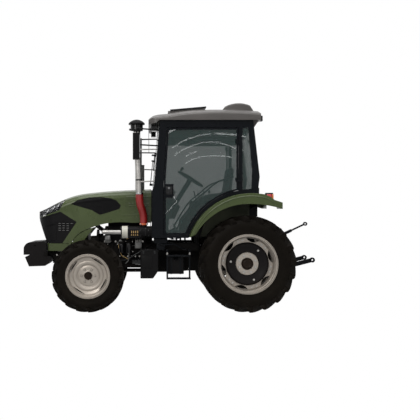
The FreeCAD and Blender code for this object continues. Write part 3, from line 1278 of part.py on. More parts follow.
def roof():
    """Roof panel with its visor lip, rear lamp shelf, hatch opening and air-conditioner pod."""
    sections = [roof_section(*station) for station in ROOF_STATIONS]
    body = Part.makeLoft(sections, True, False)
    half = ROOF_HALF_WIDTH
    front = ROOF_STATIONS[0][0]
    cut = ROOF_CORNER * (1 - math.sqrt(0.5))
    outline = plan([(ROOF_REAR_X, -half), (front - ROOF_CORNER, -half),
                    ((front - cut, -half + cut), (front, -half + ROOF_CORNER)),
                    (front, half - ROOF_CORNER), ((front - cut, half - cut), (front - ROOF_CORNER, half)),
                    (ROOF_REAR_X, half)], 2500, 3100)
    body = body.common(outline).common(roof_under(0))
    shelf = plate([(-1176, 2692), (-1276, 2740), (-1276, 2720), (-1196, 2600)], -600, 600)
    pod = plate([(-760, 2860), (-810, 2932), ((-990, 2982), (-1170, 2952)), (-1228, 2860)], -330, 330)
    pod = pod.makeFillet(24, [e for e in pod.Edges if e.BoundBox.ZMin > 2900])
    lid_line = hatch_underside
    curb = plate([(HATCH_X0 - 40, 2780), (HATCH_X0 - 40, lid_line(HATCH_X0 - 40) - FIT_GAP),
                  (HATCH_X1 + 40, lid_line(HATCH_X1 + 40) - FIT_GAP), (HATCH_X1 + 40, 2780)],
                 -HATCH_HALF - 40, HATCH_HALF + 40)
    lugs = [box(HATCH_HINGE_X - 12, HATCH_HINGE_X + 12, s * 150 - 12, s * 150 + 12, 2800, HATCH_HINGE_Z)
            for s in (-1, 1)]
    pin = cylinder_y(HATCH_HINGE_X, HATCH_HINGE_Z, -160, 160, 5)
    body = joined([body, shelf, pod, curb, pin] + lugs)
    hole = box(HATCH_X0, HATCH_X1, -HATCH_HALF, HATCH_HALF, 2600, 3000)
    return body.cut(hole)


def hatch_underside(x):
    """Height of the lid's underside, which rises towards the back."""
    return 2876 + (-12 - x) * 0.087


def roof_hatch():
    """Tinted lid over the hatch opening, hinged at its front edge."""
    front = HATCH_HINGE_X - 12 - MOVE_GAP
    lid = plate([(front, hatch_underside(front)), (HATCH_BACK_X, hatch_underside(HATCH_BACK_X)),
                 (HATCH_BACK_X, hatch_underside(HATCH_BACK_X) + 20),
                 (front, hatch_underside(front) + 20)], -HATCH_HALF - 60, HATCH_HALF + 60)
    pieces = [lid]
    for s in (-1, 1):
        pieces.append(cylinder_y(HATCH_HINGE_X, HATCH_HINGE_Z, s * 110 - 20, s * 110 + 20, 9))
        pieces.append(box(front - 10, HATCH_HINGE_X, s * 110 - 20, s * 110 + 20,
                          HATCH_HINGE_Z - 7, HATCH_HINGE_Z + 7))
    return joined(pieces).cut(cylinder_y(HATCH_HINGE_X, HATCH_HINGE_Z, -200, 200, 5 + FIT_GAP))


def lamps():
    """Work lamps at the front and rear of the roof and the tail lamps on the fenders."""
    pieces = []
    rear_x = ROOF_REAR_X - FIT_GAP
    for y in (-WORK_LAMP_Y, WORK_LAMP_Y):
        pieces.append(box(rear_x - 56, rear_x, y - 55, y + 55, 2700, 2776))
        front = box(190, 262, y - 60, y + 60, 2560, 2660)
        pieces.append(front.cut(roof_under(-FIT_GAP)))
    for s in (-1, 1):
        tail = box(-1420, -1330, s * 770 - 60, s * 770 + 60, 1560, 1664)
        grown = fender_form(FENDER_INNER_Y, FENDER_OUTER_Y, -FIT_GAP, 200)
        pieces.append(tail.cut(grown if s > 0 else flipped(grown)))
    return pieces


def seat():
    floor = CAB_FLOOR_Z + CAB_FLOOR_SHEET + FIT_GAP
    base = box(-700, -470, -160, 160, floor, 1400)
    cushion = box(-880, -420, -250, 250, 1400, 1510)
    back = plate([(-900, 1470), (-790, 1470), (-880, 2080), (-960, 2080)], -240, 240)
    return [joined([base, cushion, back])]


WHEEL_HUB = V(-330.0, 0.0, 1890.0)
COLUMN_FOOT = V(20.0, 0.0, 1330.0)
HUB_DROP = 30.0


def console():
    """Dash and steering column, with the side console and its levers."""
    floor = CAB_FLOOR_Z + CAB_FLOOR_SHEET + FIT_GAP
    front = FRONT_WALL_X - 24 - FIT_GAP
    dash = plate([(front, floor), (20, floor), (-20, 1500), (-90, 1680), (10, 1740), (front, 1690)],
                 -150, 150)
    along = WHEEL_HUB - COLUMN_FOOT
    end = 1 - (HUB_DROP + FIT_GAP) / along.Length
    column = rod(COLUMN_FOOT, COLUMN_FOOT + along * end, 36)
    side = box(-690, -330, -430, -300, floor, 1560)
    lever = rod((-440, -360, 1540), (-400, -350, 1720), 9)
    return [joined([dash, column]), joined([side, lever])]


def steering_wheel():
    along = WHEEL_HUB - COLUMN_FOOT
    along.normalize()
    ring = Part.makeTorus(205, 15, WHEEL_HUB, along)
    hub = Part.makeCylinder(38, HUB_DROP + 4, WHEEL_HUB - along * HUB_DROP, along)
    spokes = []
    for angle in (90, 210, 330):
        spoke = box(0, 200, -12, 12, -6, 6)
        spoke.rotate(V(0, 0, 0), Z_AXIS, angle)
        turn = FreeCAD.Rotation(Z_AXIS, along)
        spoke.Placement = FreeCAD.Placement(WHEEL_HUB, turn).multiply(spoke.Placement)
        spokes.append(spoke)
    return joined([ring, hub] + spokes)


# ---------------------------------------------------------------- boxes, steps and mirrors
def side_boxes():
    """Battery box and fuel tank beside the gearbox, the same on each side."""
    battery = plate([(418, 454), (418, 862), (165, 862), (165, 560), (238, 454)], 330, 600)
    tank = box(-200, 40, 330, 560, 514, 784)
    tank_arm = box(-110, -50, GEARBOX_HALF_WIDTH, 330, 600, 660)
    arm = box(180, 250, GEARBOX_HALF_WIDTH + 20, 330, 700, 760)
    return both(joined([battery, arm])) + both(joined([tank, tank_arm]))


STEP_X0 = -290.0
STEP_X1 = 50.0


def steps():
    """Two-rung step below each door."""
    y0 = 600.0
    y1 = 700.0
    posts = [box(x - 12, x + 12, y0, y0 + 24, 452, 820) for x in (STEP_X0 + 12, STEP_X1 - 12)]
    low = box(STEP_X0, STEP_X1, y0, y1, 452, 472)
    high = box(STEP_X0, STEP_X1, y0, y1 - 30, 770, 790)
    arms = [box(x - 12, x + 12, 460, y0 + 24, 842, 866) for x in (STEP_X0 + 12, STEP_X1 - 12)]
    risers = [box(x - 12, x + 12, y0, y0 + 24, 820, 866) for x in (STEP_X0 + 12, STEP_X1 - 12)]
    return both(joined(posts + [low, high] + arms + risers))


def mirrors():
    """Rear-view mirror on its two-armed bracket, one on each side."""
    head = box(428, 520, 700, 880, 2130, 2492)
    post = rod((470, 800, 2350), (470, 800, 2566), 10)
    upper = rod((470, 800, 2560), (120, 634, 2552), 10)
    lower = rod((440, 720, 2340), (130, 634, 2330), 10)
    return both(joined([head, post, upper, lower]).cut(pillar_room()))


# ---------------------------------------------------------------- the machine
def build():
    save("rear_rim_left", rear_wheel())
    save("rear_rim_right", flipped(rear_wheel()))
    save("rear_weight_left", rear_weight())
    save("rear_weight_right", flipped(rear_weight()))
    rear_tyre = tyre(REAR_WHEEL_Y, REAR_AXLE_X, REAR_TYRE_R, REAR_TYRE_WIDTH, REAR_TYRE_R,
                     REAR_RIM_WIDTH, REAR_FLANGE_R, REAR_LUGS, REAR_LUG_HEIGHT)
    save("rear_tyre_left", rear_tyre)
    save("rear_tyre_right", flipped(rear_tyre))
    save("front_rim_left", front_wheel())
    save("front_rim_right", flipped(front_wheel()))
    front_tyre = tyre(FRONT_WHEEL_Y, FRONT_AXLE_X, FRONT_TYRE_R, FRONT_TYRE_WIDTH, FRONT_TYRE_R,
                      FRONT_RIM_WIDTH, FRONT_FLANGE_R, FRONT_LUGS, FRONT_LUG_HEIGHT)
    save("front_tyre_left", front_tyre)
    save("front_tyre_right", flipped(front_tyre))
    save("front_axle", front_axle())
    save("knuckle_left", knuckle())
    save("knuckle_right", flipped(knuckle()))
    save("tie_rod", tie_rod())
    save("front_frame", front_frame())
    save("front_weights", front_weights())
    save("engine", engine())
    save("radiator", radiator())
    save("drivetrain", drivetrain())
    save("drawbar", drawbar())
    save("lift_arms", lift_arms())
    save("lift_rods", lift_rods())
    save("lower_links", lower_links())
    save("top_link", top_link())
    painted, grilles, headlamps = hood_pieces()
    save("hood", painted)
    save("grille", grilles)
    save("headlamps", headlamps)
    save("lower_fairings", [nose_apron()] + side_fairings())
    save("bulkhead", bulkhead())
    save("air_cleaner", air_cleaner())
    save("intake_pipes", [intake_pipe(), intake_elbow()])
    save("intake_hose", intake_hose())
    save("exhaust", exhaust())
    save("cab_frame", cab_frame())
    save("cab_floor", cab_floor())
    save("cab_glass", cab_glass())
    save("door_left", door())
    save("door_right", flipped(door()))
    save("door_glass_left", door_glass())
    save("door_glass_right", flipped(door_glass()))
    save("roof", roof())
    save("roof_hatch", roof_hatch())
    save("lamps", lamps())
    save("rear_fenders", both(fender()))
    save("seat", seat())
    save("console", console())
    save("steering_wheel", steering_wheel())
    save("side_boxes", side_boxes())
    save("steps", steps())
    save("mirrors", mirrors())


build()
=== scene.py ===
# %% [markdown]
# # A farm tractor with an enclosed cab
#
# The solids of the tractor arrive finished from the CAD model: every panel, wheel and link is already at
# its real size and place. This script gives them their looks. It makes the materials, turns the wheels
# and tyres in detail, and adds the small things that a solid model leaves out, such as nuts, seals,
# slots, ribs, gauges and a padded seat. Lengths are in metres, +X points forwards, +Y to the driver's left.

# %% Load the frame
import bmesh
import bpy
import json
import math
from mathutils import Matrix, Vector
from mathutils.bvhtree import BVHTree

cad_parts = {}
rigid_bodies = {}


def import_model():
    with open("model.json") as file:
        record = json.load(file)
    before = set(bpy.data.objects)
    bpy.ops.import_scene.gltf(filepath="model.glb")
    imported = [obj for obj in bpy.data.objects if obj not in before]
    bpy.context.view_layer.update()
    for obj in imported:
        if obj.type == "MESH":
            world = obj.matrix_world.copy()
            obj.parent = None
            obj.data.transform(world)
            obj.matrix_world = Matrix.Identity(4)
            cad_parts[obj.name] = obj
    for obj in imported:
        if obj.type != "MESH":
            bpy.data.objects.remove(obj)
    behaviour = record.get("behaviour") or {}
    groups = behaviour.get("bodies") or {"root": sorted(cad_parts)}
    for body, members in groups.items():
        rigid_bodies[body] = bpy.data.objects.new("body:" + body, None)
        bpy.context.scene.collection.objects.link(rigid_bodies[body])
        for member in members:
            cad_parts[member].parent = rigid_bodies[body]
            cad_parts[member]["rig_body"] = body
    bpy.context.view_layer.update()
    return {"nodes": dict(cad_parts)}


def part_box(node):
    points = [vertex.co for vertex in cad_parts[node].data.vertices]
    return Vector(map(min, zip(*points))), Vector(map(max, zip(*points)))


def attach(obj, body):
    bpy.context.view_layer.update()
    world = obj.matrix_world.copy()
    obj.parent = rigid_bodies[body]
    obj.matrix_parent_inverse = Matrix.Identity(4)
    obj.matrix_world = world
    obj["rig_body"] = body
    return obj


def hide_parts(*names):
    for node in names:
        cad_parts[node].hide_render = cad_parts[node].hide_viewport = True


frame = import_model()
nodes = frame["nodes"]

# %% [markdown]
# ## The camera
#
# The machine is looked at from its left side with a long lens, a little off centre, so the view is nearly
# square on. A shifted lens frames it without turning the camera, which keeps upright lines upright.

# %% Camera
scene = bpy.context.scene
camera = bpy.data.cameras.new("camera")
camera_object = bpy.data.objects.new("camera", camera)
scene.collection.objects.link(camera_object)
camera_object.location = (0.295, 10.35, 1.467)
camera_object.rotation_euler = (math.radians(90), 0, math.radians(180))
camera.lens = 59.0
camera.sensor_width = 36.0
camera.shift_x = 0.145
camera.shift_y = -0.007
scene.camera = camera_object
scene.view_settings.view_transform = "Standard"
print("camera at", tuple(camera_object.location))

# %% [markdown]
# ## The background and the lights
#
# The background is plain white where it is looked at, straight or by way of metal and glass, but only a
# dim fill where it lights the machine, so the paint keeps its depth. Large soft lights stand above,
# before and behind the machine, as in a studio. Two of them are hidden from mirrors, to keep the glass
# and the enamel free of hard white shapes.

# %% Background and lights
def cleared(holder):
    """The empty node tree of a material or a world."""
    holder.use_nodes = True
    holder.node_tree.nodes.clear()
    return holder.node_tree


def where_seen(tree, unseen, seen):
    """Shows one shader where it is looked at, straight or by way of metal and glass, and another elsewhere."""
    ways = tree.nodes.new("ShaderNodeLightPath")
    total = ways.outputs["Is Camera Ray"]
    for name in ("Is Glossy Ray", "Is Transmission Ray"):
        larger = tree.nodes.new("ShaderNodeMath")
        larger.operation = "MAXIMUM"
        tree.links.new(total, larger.inputs[0])
        tree.links.new(ways.outputs[name], larger.inputs[1])
        total = larger.outputs[0]
    both = tree.nodes.new("ShaderNodeMixShader")
    tree.links.new(total, both.inputs["Fac"])
    tree.links.new(unseen.outputs[0], both.inputs[1])
    tree.links.new(seen.outputs[0], both.inputs[2])
    return both.outputs[0]


scene.world = bpy.data.worlds.new("studio")
tree = cleared(scene.world)
seen = tree.nodes.new("ShaderNodeBackground")
seen.inputs["Color"].default_value = (1, 1, 1, 1)
seen.inputs["Strength"].default_value = 1.0
fill = tree.nodes.new("ShaderNodeBackground")
fill.inputs["Color"].default_value = (0.93, 0.96, 1.0, 1)
fill.inputs["Strength"].default_value = 0.28
tree.links.new(where_seen(tree, fill, seen), tree.nodes.new("ShaderNodeOutputWorld").inputs["Surface"])


def area_light(name, place, aim, size, power, color=(1, 1, 1), mirrored=True):
    lamp = bpy.data.lights.new(name, "AREA")
    lamp.shape = "RECTANGLE"
    lamp.size, lamp.size_y = size
    lamp.energy = power
    lamp.color = color
    holder = bpy.data.objects.new(name, lamp)
    scene.collection.objects.link(holder)
    holder.visible_glossy = mirrored
    holder.location = place
    holder.rotation_euler = (Vector(aim) - Vector(place)).to_track_quat("-Z", "Y").to_euler()


area_light("overhead", (0.3, 1.5, 7.0), (0, 0, 1.0), (7.0, 4.0), 330)
area_light("key", (3.5, 6.5, 4.6), (0, 0, 1.2), (3.5, 3.0), 210, (1.0, 0.985, 0.96))
area_light("fill", (-5.0, 5.5, 3.0), (-0.5, 0, 1.0), (3.0, 3.0), 80, mirrored=False)
area_light("back", (-1.0, -6.0, 4.0), (0, 0, 1.2), (6.0, 3.0), 150, mirrored=False)

# %% [markdown]
# ## The floor
#
# The floor is one large sheet just below the wheels. It is white where it is looked at and a matt grey
# where light falls on it, so it blends into the background and still throws soft light upwards.

# %% Floor
def add_stage(name, bm, material):
    """Puts a form of the studio, which is no part of the machine, into the scene."""
    mesh = bpy.data.meshes.new(name)
    bm.to_mesh(mesh)
    bm.free()
    mesh.materials.append(material)
    obj = bpy.data.objects.new(name, mesh)
    scene.collection.objects.link(obj)
    return obj


paper = bpy.data.materials.new("studio_floor")
tree = cleared(paper)
white = tree.nodes.new("ShaderNodeEmission")
white.inputs["Strength"].default_value = 1.0
matt = tree.nodes.new("ShaderNodeBsdfDiffuse")
matt.inputs["Color"].default_value = (0.42, 0.42, 0.42, 1)
tree.links.new(where_seen(tree, matt, white), tree.nodes.new("ShaderNodeOutputMaterial").inputs["Surface"])
bm = bmesh.new()
bmesh.ops.create_grid(bm, x_segments=8, y_segments=8, size=14.0)
add_stage("floor", bm, paper).location.z = -0.002
print("floor laid")

# %% [markdown]
# ## The studio's tubes
#
# Thin bright tubes hang behind the camera, and the door's flat glass mirrors them as long curved lines.
# Such lines aren't painted on the glass, because a reflection has to move when the door swings. Each
# tube is laid out where its image should be on the glass and then carried out to the wall of tubes,
# along the line from the camera's own mirror image. A ribbon is an edge, extruded from spot to spot.

# %% Tubes
GLASS_Y = 0.642
TUBE_WALL_Y = 11.5
TUBE_FLATNESS = 0.70
TUBES = (([(-0.026, 2.297), (-0.140, 2.372), (-0.254, 2.428), (-0.420, 2.475), (-0.586, 2.506)], 0.020),
         ([(-0.632, 2.506), (-0.790, 2.496), (-0.951, 2.480), (-1.068, 2.460)], 0.026),
         ([(-0.052, 2.193), (-0.150, 2.255), (-0.248, 2.304), (-0.352, 2.348), (-0.456, 2.378), (-0.567, 2.384),
           (-0.678, 2.376), (-0.782, 2.348), (-0.886, 2.310), (-1.049, 2.258)], 0.017),
         ([(-0.222, 2.187), (-0.300, 2.224), (-0.378, 2.252)], 0.012),
         ([(-0.209, 2.085), (-0.313, 2.136), (-0.417, 2.174), (-0.535, 2.187), (-0.652, 2.189), (-0.782, 2.189),
           (-0.873, 2.161)], 0.013),
         ([(0.039, 2.506), (-0.030, 2.548), (-0.091, 2.571)], 0.034), ([(-0.222, 2.580), (-0.300, 2.584)], 0.014),
         ([(-0.026, 1.653), (-0.098, 1.555), (-0.010, 1.452), (0.078, 1.360)], 0.012))


def add_sweep(bm, sections, mat=0, closed=False):
    """Extrudes a line of edges from section to section. More than two points make a ring, with capped ends."""
    line = [bm.verts.new(p) for p in sections[0]]
    ring = len(line) > 2

    def sides():
        return list(zip(line, line[1:])) + ([(line[-1], line[0])] if ring else [])

    edges = [bm.edges.new(ends) for ends in sides()]
    if ring and not closed:
        bm.faces.new(line).material_index = mat
    for section in sections[1:] + (sections[:1] if closed else []):
        made = set(bmesh.ops.extrude_edge_only(bm, edges=edges)["geom"])
        line = [next(e.other_vert(v) for e in v.link_edges if e.other_vert(v) in made) for v in line]
        edges = [bm.edges.get(ends) for ends in sides()]
        for v, p in zip(line, section):
            v.co = p
        for edge in edges:
            for face in edge.link_faces:
                face.material_index = mat
    if ring and not closed:
        bm.faces.new(line).material_index = mat


eye = camera_object.location
mirror_eye = Vector((eye.x, 2 * GLASS_Y - eye.y, eye.z))
reach = (TUBE_WALL_Y - mirror_eye.y) / (GLASS_Y - mirror_eye.y)
bm = bmesh.new()
for line, width in TUBES:
    far = [mirror_eye + (Vector((x, GLASS_Y, z)) - mirror_eye) * reach for x, z in line]
    rows = []
    for i, p in enumerate(far):
        ahead = far[min(i + 1, len(far) - 1)] - far[max(i - 1, 0)]
        side = ahead.cross(Vector((0, 1, 0))).normalized() * width * TUBE_FLATNESS
        rows.append((p - side, p + side))
    add_sweep(bm, rows)
glow = bpy.data.materials.new("tube_glow")
tree = cleared(glow)
shine = tree.nodes.new("ShaderNodeEmission")
shine.inputs["Strength"].default_value = 8.5
tree.links.new(shine.outputs[0], tree.nodes.new("ShaderNodeOutputMaterial").inputs["Surface"])
add_stage("studio_tubes", bm, glow).visible_diffuse = False
print(len(TUBES), "tubes behind the camera")

# %% [markdown]
# ## Materials
#
# Each finish starts from the same recipe: a base colour that is mottled a little at a large scale, fine
# grain as bump, and a film of dust that is thickest near the ground. Enamel gets a clear coat, castings
# and rubber none. All of them read the coordinates of the piece itself, so a finish stays on its piece
# when the piece moves.

# %% The recipe
DUST = (0.20, 0.165, 0.12, 1)


def finish(name, color, roughness, metallic=0.0, coat=0.0, mottle=0.12, mottle_scale=3.0,
           grain=0.0, grain_scale=300.0, dust=0.0, dust_top=1.3, rough_change=0.08, alpha=1.0, ior=1.5):
    mat = bpy.data.materials.new(name)
    mat.use_nodes = True
    nt = mat.node_tree
    shader = nt.nodes["Principled BSDF"]
    for socket, value in (("Metallic", metallic), ("Coat Weight", coat), ("Coat Roughness", 0.06),
                          ("IOR", ior), ("Alpha", alpha)):
        shader.inputs[socket].default_value = value
    place = nt.nodes.new("ShaderNodeTexCoord").outputs["Object"]

    def fed(socket, value):
        """Sets a socket to a number or a colour, or links another node's output to it."""
        if isinstance(value, (int, float, tuple)):
            socket.default_value = value
        else:
            nt.links.new(value, socket)

    def noise(scale, detail):
        node = nt.nodes.new("ShaderNodeTexNoise")
        node.inputs["Scale"].default_value = scale
        node.inputs["Detail"].default_value = detail
        nt.links.new(place, node.inputs["Vector"])
        return node.outputs[0]

    def spread(source, low, high, to_low, to_high):
        node = nt.nodes.new("ShaderNodeMapRange")
        for socket, value in (("From Min", low), ("From Max", high), ("To Min", to_low), ("To Max", to_high),
                              ("Value", source)):
            fed(node.inputs[socket], value)
        return node.outputs[0]

    def mix(factor, first, second):
        node = nt.nodes.new("ShaderNodeMix")
        node.data_type = "RGBA"
        for socket, value in ((0, factor), (6, first), (7, second)):
            fed(node.inputs[socket], value)
        return node.outputs[2]

    def math_node(operation, *values):
        node = nt.nodes.new("ShaderNodeMath")
        node.operation = operation
        for socket, value in zip(node.inputs, values):
            fed(socket, value)
        return node.outputs[0]

    darker = tuple(c * (1 - mottle) for c in color) + (1,)
    lighter = tuple(min(c * (1 + mottle), 1) for c in color) + (1,)
    shade = mix(spread(noise(mottle_scale, 5.0), 0.3, 0.7, 0, 1), darker, lighter)
    rough = spread(noise(mottle_scale * 2.7, 4.0), 0.3, 0.7, roughness - rough_change, roughness + rough_change)
    if dust:
        split = nt.nodes.new("ShaderNodeSeparateXYZ")
        nt.links.new(place, split.inputs[0])
        height = spread(split.outputs["Z"], 0.1, dust_top, dust, 0.0)
        patch = spread(noise(7.0, 8.0), 0.35, 0.7, 0.25, 1.0)
        film = math_node("MULTIPLY", height, patch)
        shade = mix(film, shade, DUST)
        rough = math_node("MULTIPLY_ADD", film, 0.3, rough)
    nt.links.new(shade, shader.inputs["Base Color"])
    nt.links.new(rough, shader.inputs["Roughness"])
    if grain:
        bump = nt.nodes.new("ShaderNodeBump")
        bump.inputs["Strength"].default_value = grain
        bump.inputs["Distance"].default_value = 0.0012
        nt.links.new(noise(grain_scale, 3.0), bump.inputs["Height"])
        nt.links.new(bump.outputs[0], shader.inputs["Normal"])
    return mat


print("recipe ready")

# %% [markdown]
# ## The finishes
#
# The real machine has few finishes: olive enamel on the panels, satin black on the cab, raw castings
# below, silver on the wheels. Black rubber and plastic are kept very dark and reflect little, because
# under soft light a normal gloss would turn them grey. The glass is tinted and lets half the view through.

# %% The finishes
green = finish("olive_enamel", (0.047, 0.067, 0.018), 0.30, coat=0.10, ior=1.34, mottle=0.08, grain=0.05,
               grain_scale=120.0, dust=0.10, dust_top=1.5)
roof_paint = finish("roof_paint", (0.074, 0.068, 0.064), 0.42, coat=0.05, ior=1.34, mottle=0.10, grain=0.10,
                    grain_scale=220.0)
frame_black = finish("satin_black", (0.0042, 0.0052, 0.0068), 0.28, grain=0.10, dust=0.01, ior=1.16)
casting = finish("black_casting", (0.0052, 0.0048, 0.0046), 0.55, grain=0.55, grain_scale=160.0, dust=0.04,
                 dust_top=1.0, ior=1.14)
weight_iron = finish("weight_iron", (0.0070, 0.0060, 0.0062), 0.50, grain=0.40, grain_scale=110.0, dust=0.03,
                     dust_top=1.0, ior=1.17)
silver = finish("wheel_silver", (0.375, 0.335, 0.290), 0.34, metallic=0.35, coat=0.05, mottle=0.06, grain=0.05,
                grain_scale=250.0, dust=0.22, dust_top=1.2)
rubber = finish("tyre_rubber", (0.0058, 0.0046, 0.0034), 0.58, mottle=0.25, mottle_scale=5.0, grain=0.30,
                grain_scale=260.0, dust=0.012, dust_top=1.3, ior=1.13)
plastic = finish("grained_plastic", (0.0056, 0.0054, 0.0058), 0.42, grain=0.20, grain_scale=700.0, dust=0.012,
                 ior=1.16)
gloss_black = finish("gloss_black", (0.0040, 0.0042, 0.0048), 0.14, coat=0.06, ior=1.3)
glass = finish("tinted_glass", (0.003, 0.028, 0.024), 0.02, alpha=0.49, ior=1.58, mottle=0.0, rough_change=0.005)
lens = finish("clear_lens", (0.03, 0.032, 0.034), 0.05, alpha=0.20, ior=1.4, mottle=0.0, rough_change=0.02)
chrome = finish("reflector", (0.30, 0.305, 0.31), 0.10, metallic=1.0, mottle=0.02, rough_change=0.03)
steel = finish("brushed_steel", (0.34, 0.33, 0.315), 0.34, metallic=0.9, mottle=0.15, mottle_scale=9.0,
               grain=0.12, grain_scale=380.0)
zinc = finish("zinc_fastener", (0.36, 0.35, 0.33), 0.38, metallic=0.85, mottle=0.2, mottle_scale=40.0)
hose_red = finish("red_rubber", (0.26, 0.012, 0.012), 0.38, grain=0.10, grain_scale=200.0, mottle=0.15)
clamp_orange = finish("orange_clamp", (0.62, 0.12, 0.03), 0.35, coat=0.3)
red_lens = finish("red_lens", (0.55, 0.02, 0.03), 0.16, coat=0.6, mottle=0.1, mottle_scale=60.0)
amber_lens = finish("amber_lens", (0.75, 0.20, 0.01), 0.18, coat=0.6, mottle=0.1, mottle_scale=60.0)
cloth = finish("seat_cloth", (0.022, 0.022, 0.026), 0.85, mottle=0.3, mottle_scale=30.0, grain=0.7,
               grain_scale=900.0)
slot_grey = finish("grille_mesh", (0.15, 0.15, 0.145), 0.45, metallic=0.5, mottle=0.2, mottle_scale=60.0)
white_band = finish("cream_band", (0.58, 0.56, 0.48), 0.4, mottle=0.08)
brass = finish("dull_brass", (0.45, 0.30, 0.12), 0.35, metallic=0.8, mottle=0.15, mottle_scale=30.0)
hub_brown = finish("hub_grease", (0.012, 0.007, 0.004), 0.40, mottle=0.3, mottle_scale=20.0, ior=1.2)
lining = finish("cab_lining", (0.030, 0.033, 0.019), 0.8, mottle=0.2, grain=0.3, grain_scale=500.0)
print(len(bpy.data.materials), "materials")

# %% [markdown]
# ## Ending a piece
#
# Every new piece ends in the same way: its points are merged, its normals turned outwards and its
# corners kept crisp above a set angle, and then it is put on its body with its finish. Most pieces come
# twice, so the right one is the left one's form, mirrored across the machine.

# %% Ending a piece
def piece(name, bm, mat, body, stands_for=(), crisp=35.0, mats=None):
    """Ends a piece: bm becomes an object at the origin that rides on its body."""
    bmesh.ops.remove_doubles(bm, verts=bm.verts, dist=1e-5)
    bmesh.ops.recalc_face_normals(bm, faces=bm.faces)
    mesh = bpy.data.meshes.new(name)
    bm.to_mesh(mesh)
    bm.free()
    for m in mats or [mat]:
        mesh.materials.append(m)
    mesh.polygons.foreach_set("use_smooth", [True] * len(mesh.polygons))
    mesh.set_sharp_from_angle(angle=math.radians(crisp))
    obj = bpy.data.objects.new(name, mesh)
    scene.collection.objects.link(obj)
    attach(obj, body)
    if stands_for:
        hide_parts(*stands_for)
    return obj


def pair(name, bm, mat, bodies, stands_for=None, crisp=35.0, mats=None):
    """One piece on each side, left and right, from the left one's form."""
    other = bm.copy()
    bmesh.ops.transform(other, matrix=Matrix.Scale(-1, 4, (0, 1, 0)), verts=other.verts)
    bmesh.ops.reverse_faces(other, faces=other.faces)
    for form, side, body in ((bm, "left", bodies[0]), (other, "right", bodies[1])):
        nodes_out = [stands_for + "_" + side] if stands_for else ()
        piece(name + "_" + side, form, mat, body, nodes_out, crisp, mats)


print("endings ready")

# %% [markdown]
# ## Small shapes
#
# A few shapes come up again and again: a turned form, a bevelled box, a round bar, a nut on its washer
# and a tube along a line. Each is one helper that starts from an operator, so that a piece further down
# is only a list of sizes and places.

# %% Small shapes
AXES = {"X": (1, 0, 0), "Y": (0, 1, 0), "Z": (0, 0, 1)}


def circle(steps):
    """Angles round a full turn."""
    return [2 * math.pi * k / steps for k in range(steps)]


def add_turned(bm, profile, center, axis="Y", steps=96, mat=0):
    """Turns a closed profile of (distance along the axis, radius) about the axis through center."""
    along_way = Vector(AXES[axis])
    out_way = Vector(AXES["X" if axis == "Z" else "Z"])
    before = set(bm.faces)
    points = [bm.verts.new(Vector(center) + along_way * along + out_way * radius) for along, radius in profile]
    edges = [bm.edges.new(ends) for ends in zip(points, points[1:] + points[:1])]
    bmesh.ops.spin(bm, geom=points + edges, cent=center, angle=2 * math.pi, steps=steps, use_merge=True,
                   axis=AXES[axis])
    bmesh.ops.remove_doubles(bm, verts=bm.verts, dist=1e-6)
    for face in bm.faces:
        if face not in before:
            face.material_index = mat


def add_box(bm, low, high, bevel=0.0, turn=None, mat=0, segments=2):
    """A box between two corners with rounded edges, turned about its own middle if asked."""
    low, high = Vector(low), Vector(high)
    made = bmesh.ops.create_cube(bm, size=1.0)["verts"]
    size = high - low
    grow = Matrix.Diagonal((size.x, size.y, size.z, 1))
    turned = turn.to_4x4() if turn else Matrix.Identity(4)
    bmesh.ops.transform(bm, matrix=Matrix.Translation((low + high) / 2) @ turned @ grow, verts=made)
    for face in {f for v in made for f in v.link_faces}:
        face.material_index = mat
    if bevel:
        edges = list({e for v in made for e in v.link_edges})
        bmesh.ops.bevel(bm, geom=edges, offset=bevel, affect="EDGES", segments=segments, profile=0.5, material=-1)


def add_rod(bm, start, end, radius, sides=16, radius_end=None, mat=0):
    """A round bar from one point to another."""
    a, b = Vector(start), Vector(end)
    place = Matrix.Translation((a + b) / 2) @ (b - a).to_track_quat("Z", "Y").to_matrix().to_4x4()
    made = bmesh.ops.create_cone(bm, cap_ends=True, segments=sides, radius1=radius,
                                 radius2=radius if radius_end is None else radius_end,
                                 depth=(b - a).length, matrix=place)["verts"]
    for face in {f for v in made for f in v.link_faces}:
        face.material_index = mat


def add_nut(bm, place, along, across, depth, mat=0):
    """A six-sided nut with a washer below it and the stud's end above it."""
    p = Vector(place)
    d = Vector(along).normalized()
    for height, radius, sides in ((0.22, 0.62, 20), (1.0, 0.5, 6), (1.35, 0.27, 12)):
        add_rod(bm, p, p + d * depth * height, across * radius, sides, mat=mat)


def add_tube(bm, points, radius, sides=16, mat=0):
    """A tube whose middle line passes through the points."""
    spots = [Vector(p) for p in points]
    sections = []
    up = None
    for i, p in enumerate(spots):
        ahead = (spots[min(i + 1, len(spots) - 1)] - spots[max(i - 1, 0)]).normalized()
        if up is None:
            up = Vector((0, 0, 1)) if abs(ahead.z) < 0.9 else Vector((1, 0, 0))
        side = ahead.cross(up).normalized()
        up = side.cross(ahead).normalized()
        sections.append([p + (side * math.cos(t) + up * math.sin(t)) * radius for t in circle(sides)])
    add_sweep(bm, sections, mat)


def around(center, radius, angle, out_by=0.0):
    """A point at an angle about the axle line through center, as seen from the side."""
    return Vector(center) + Vector((radius * math.cos(angle), out_by, radius * math.sin(angle)))


print("small shapes ready")

# %% [markdown]
# ## The tyres
#
# A farm tyre is a smooth carcass with two rows of slanting bars. The carcass is one section turned about
# the axle. A bar is a block of small faces whose points are wrapped round the carcass: it starts beside
# the middle, runs out at a slant and goes down over the shoulder. Its middle end leads the way, so the
# bars form arrows. The second row is half a step behind the first.

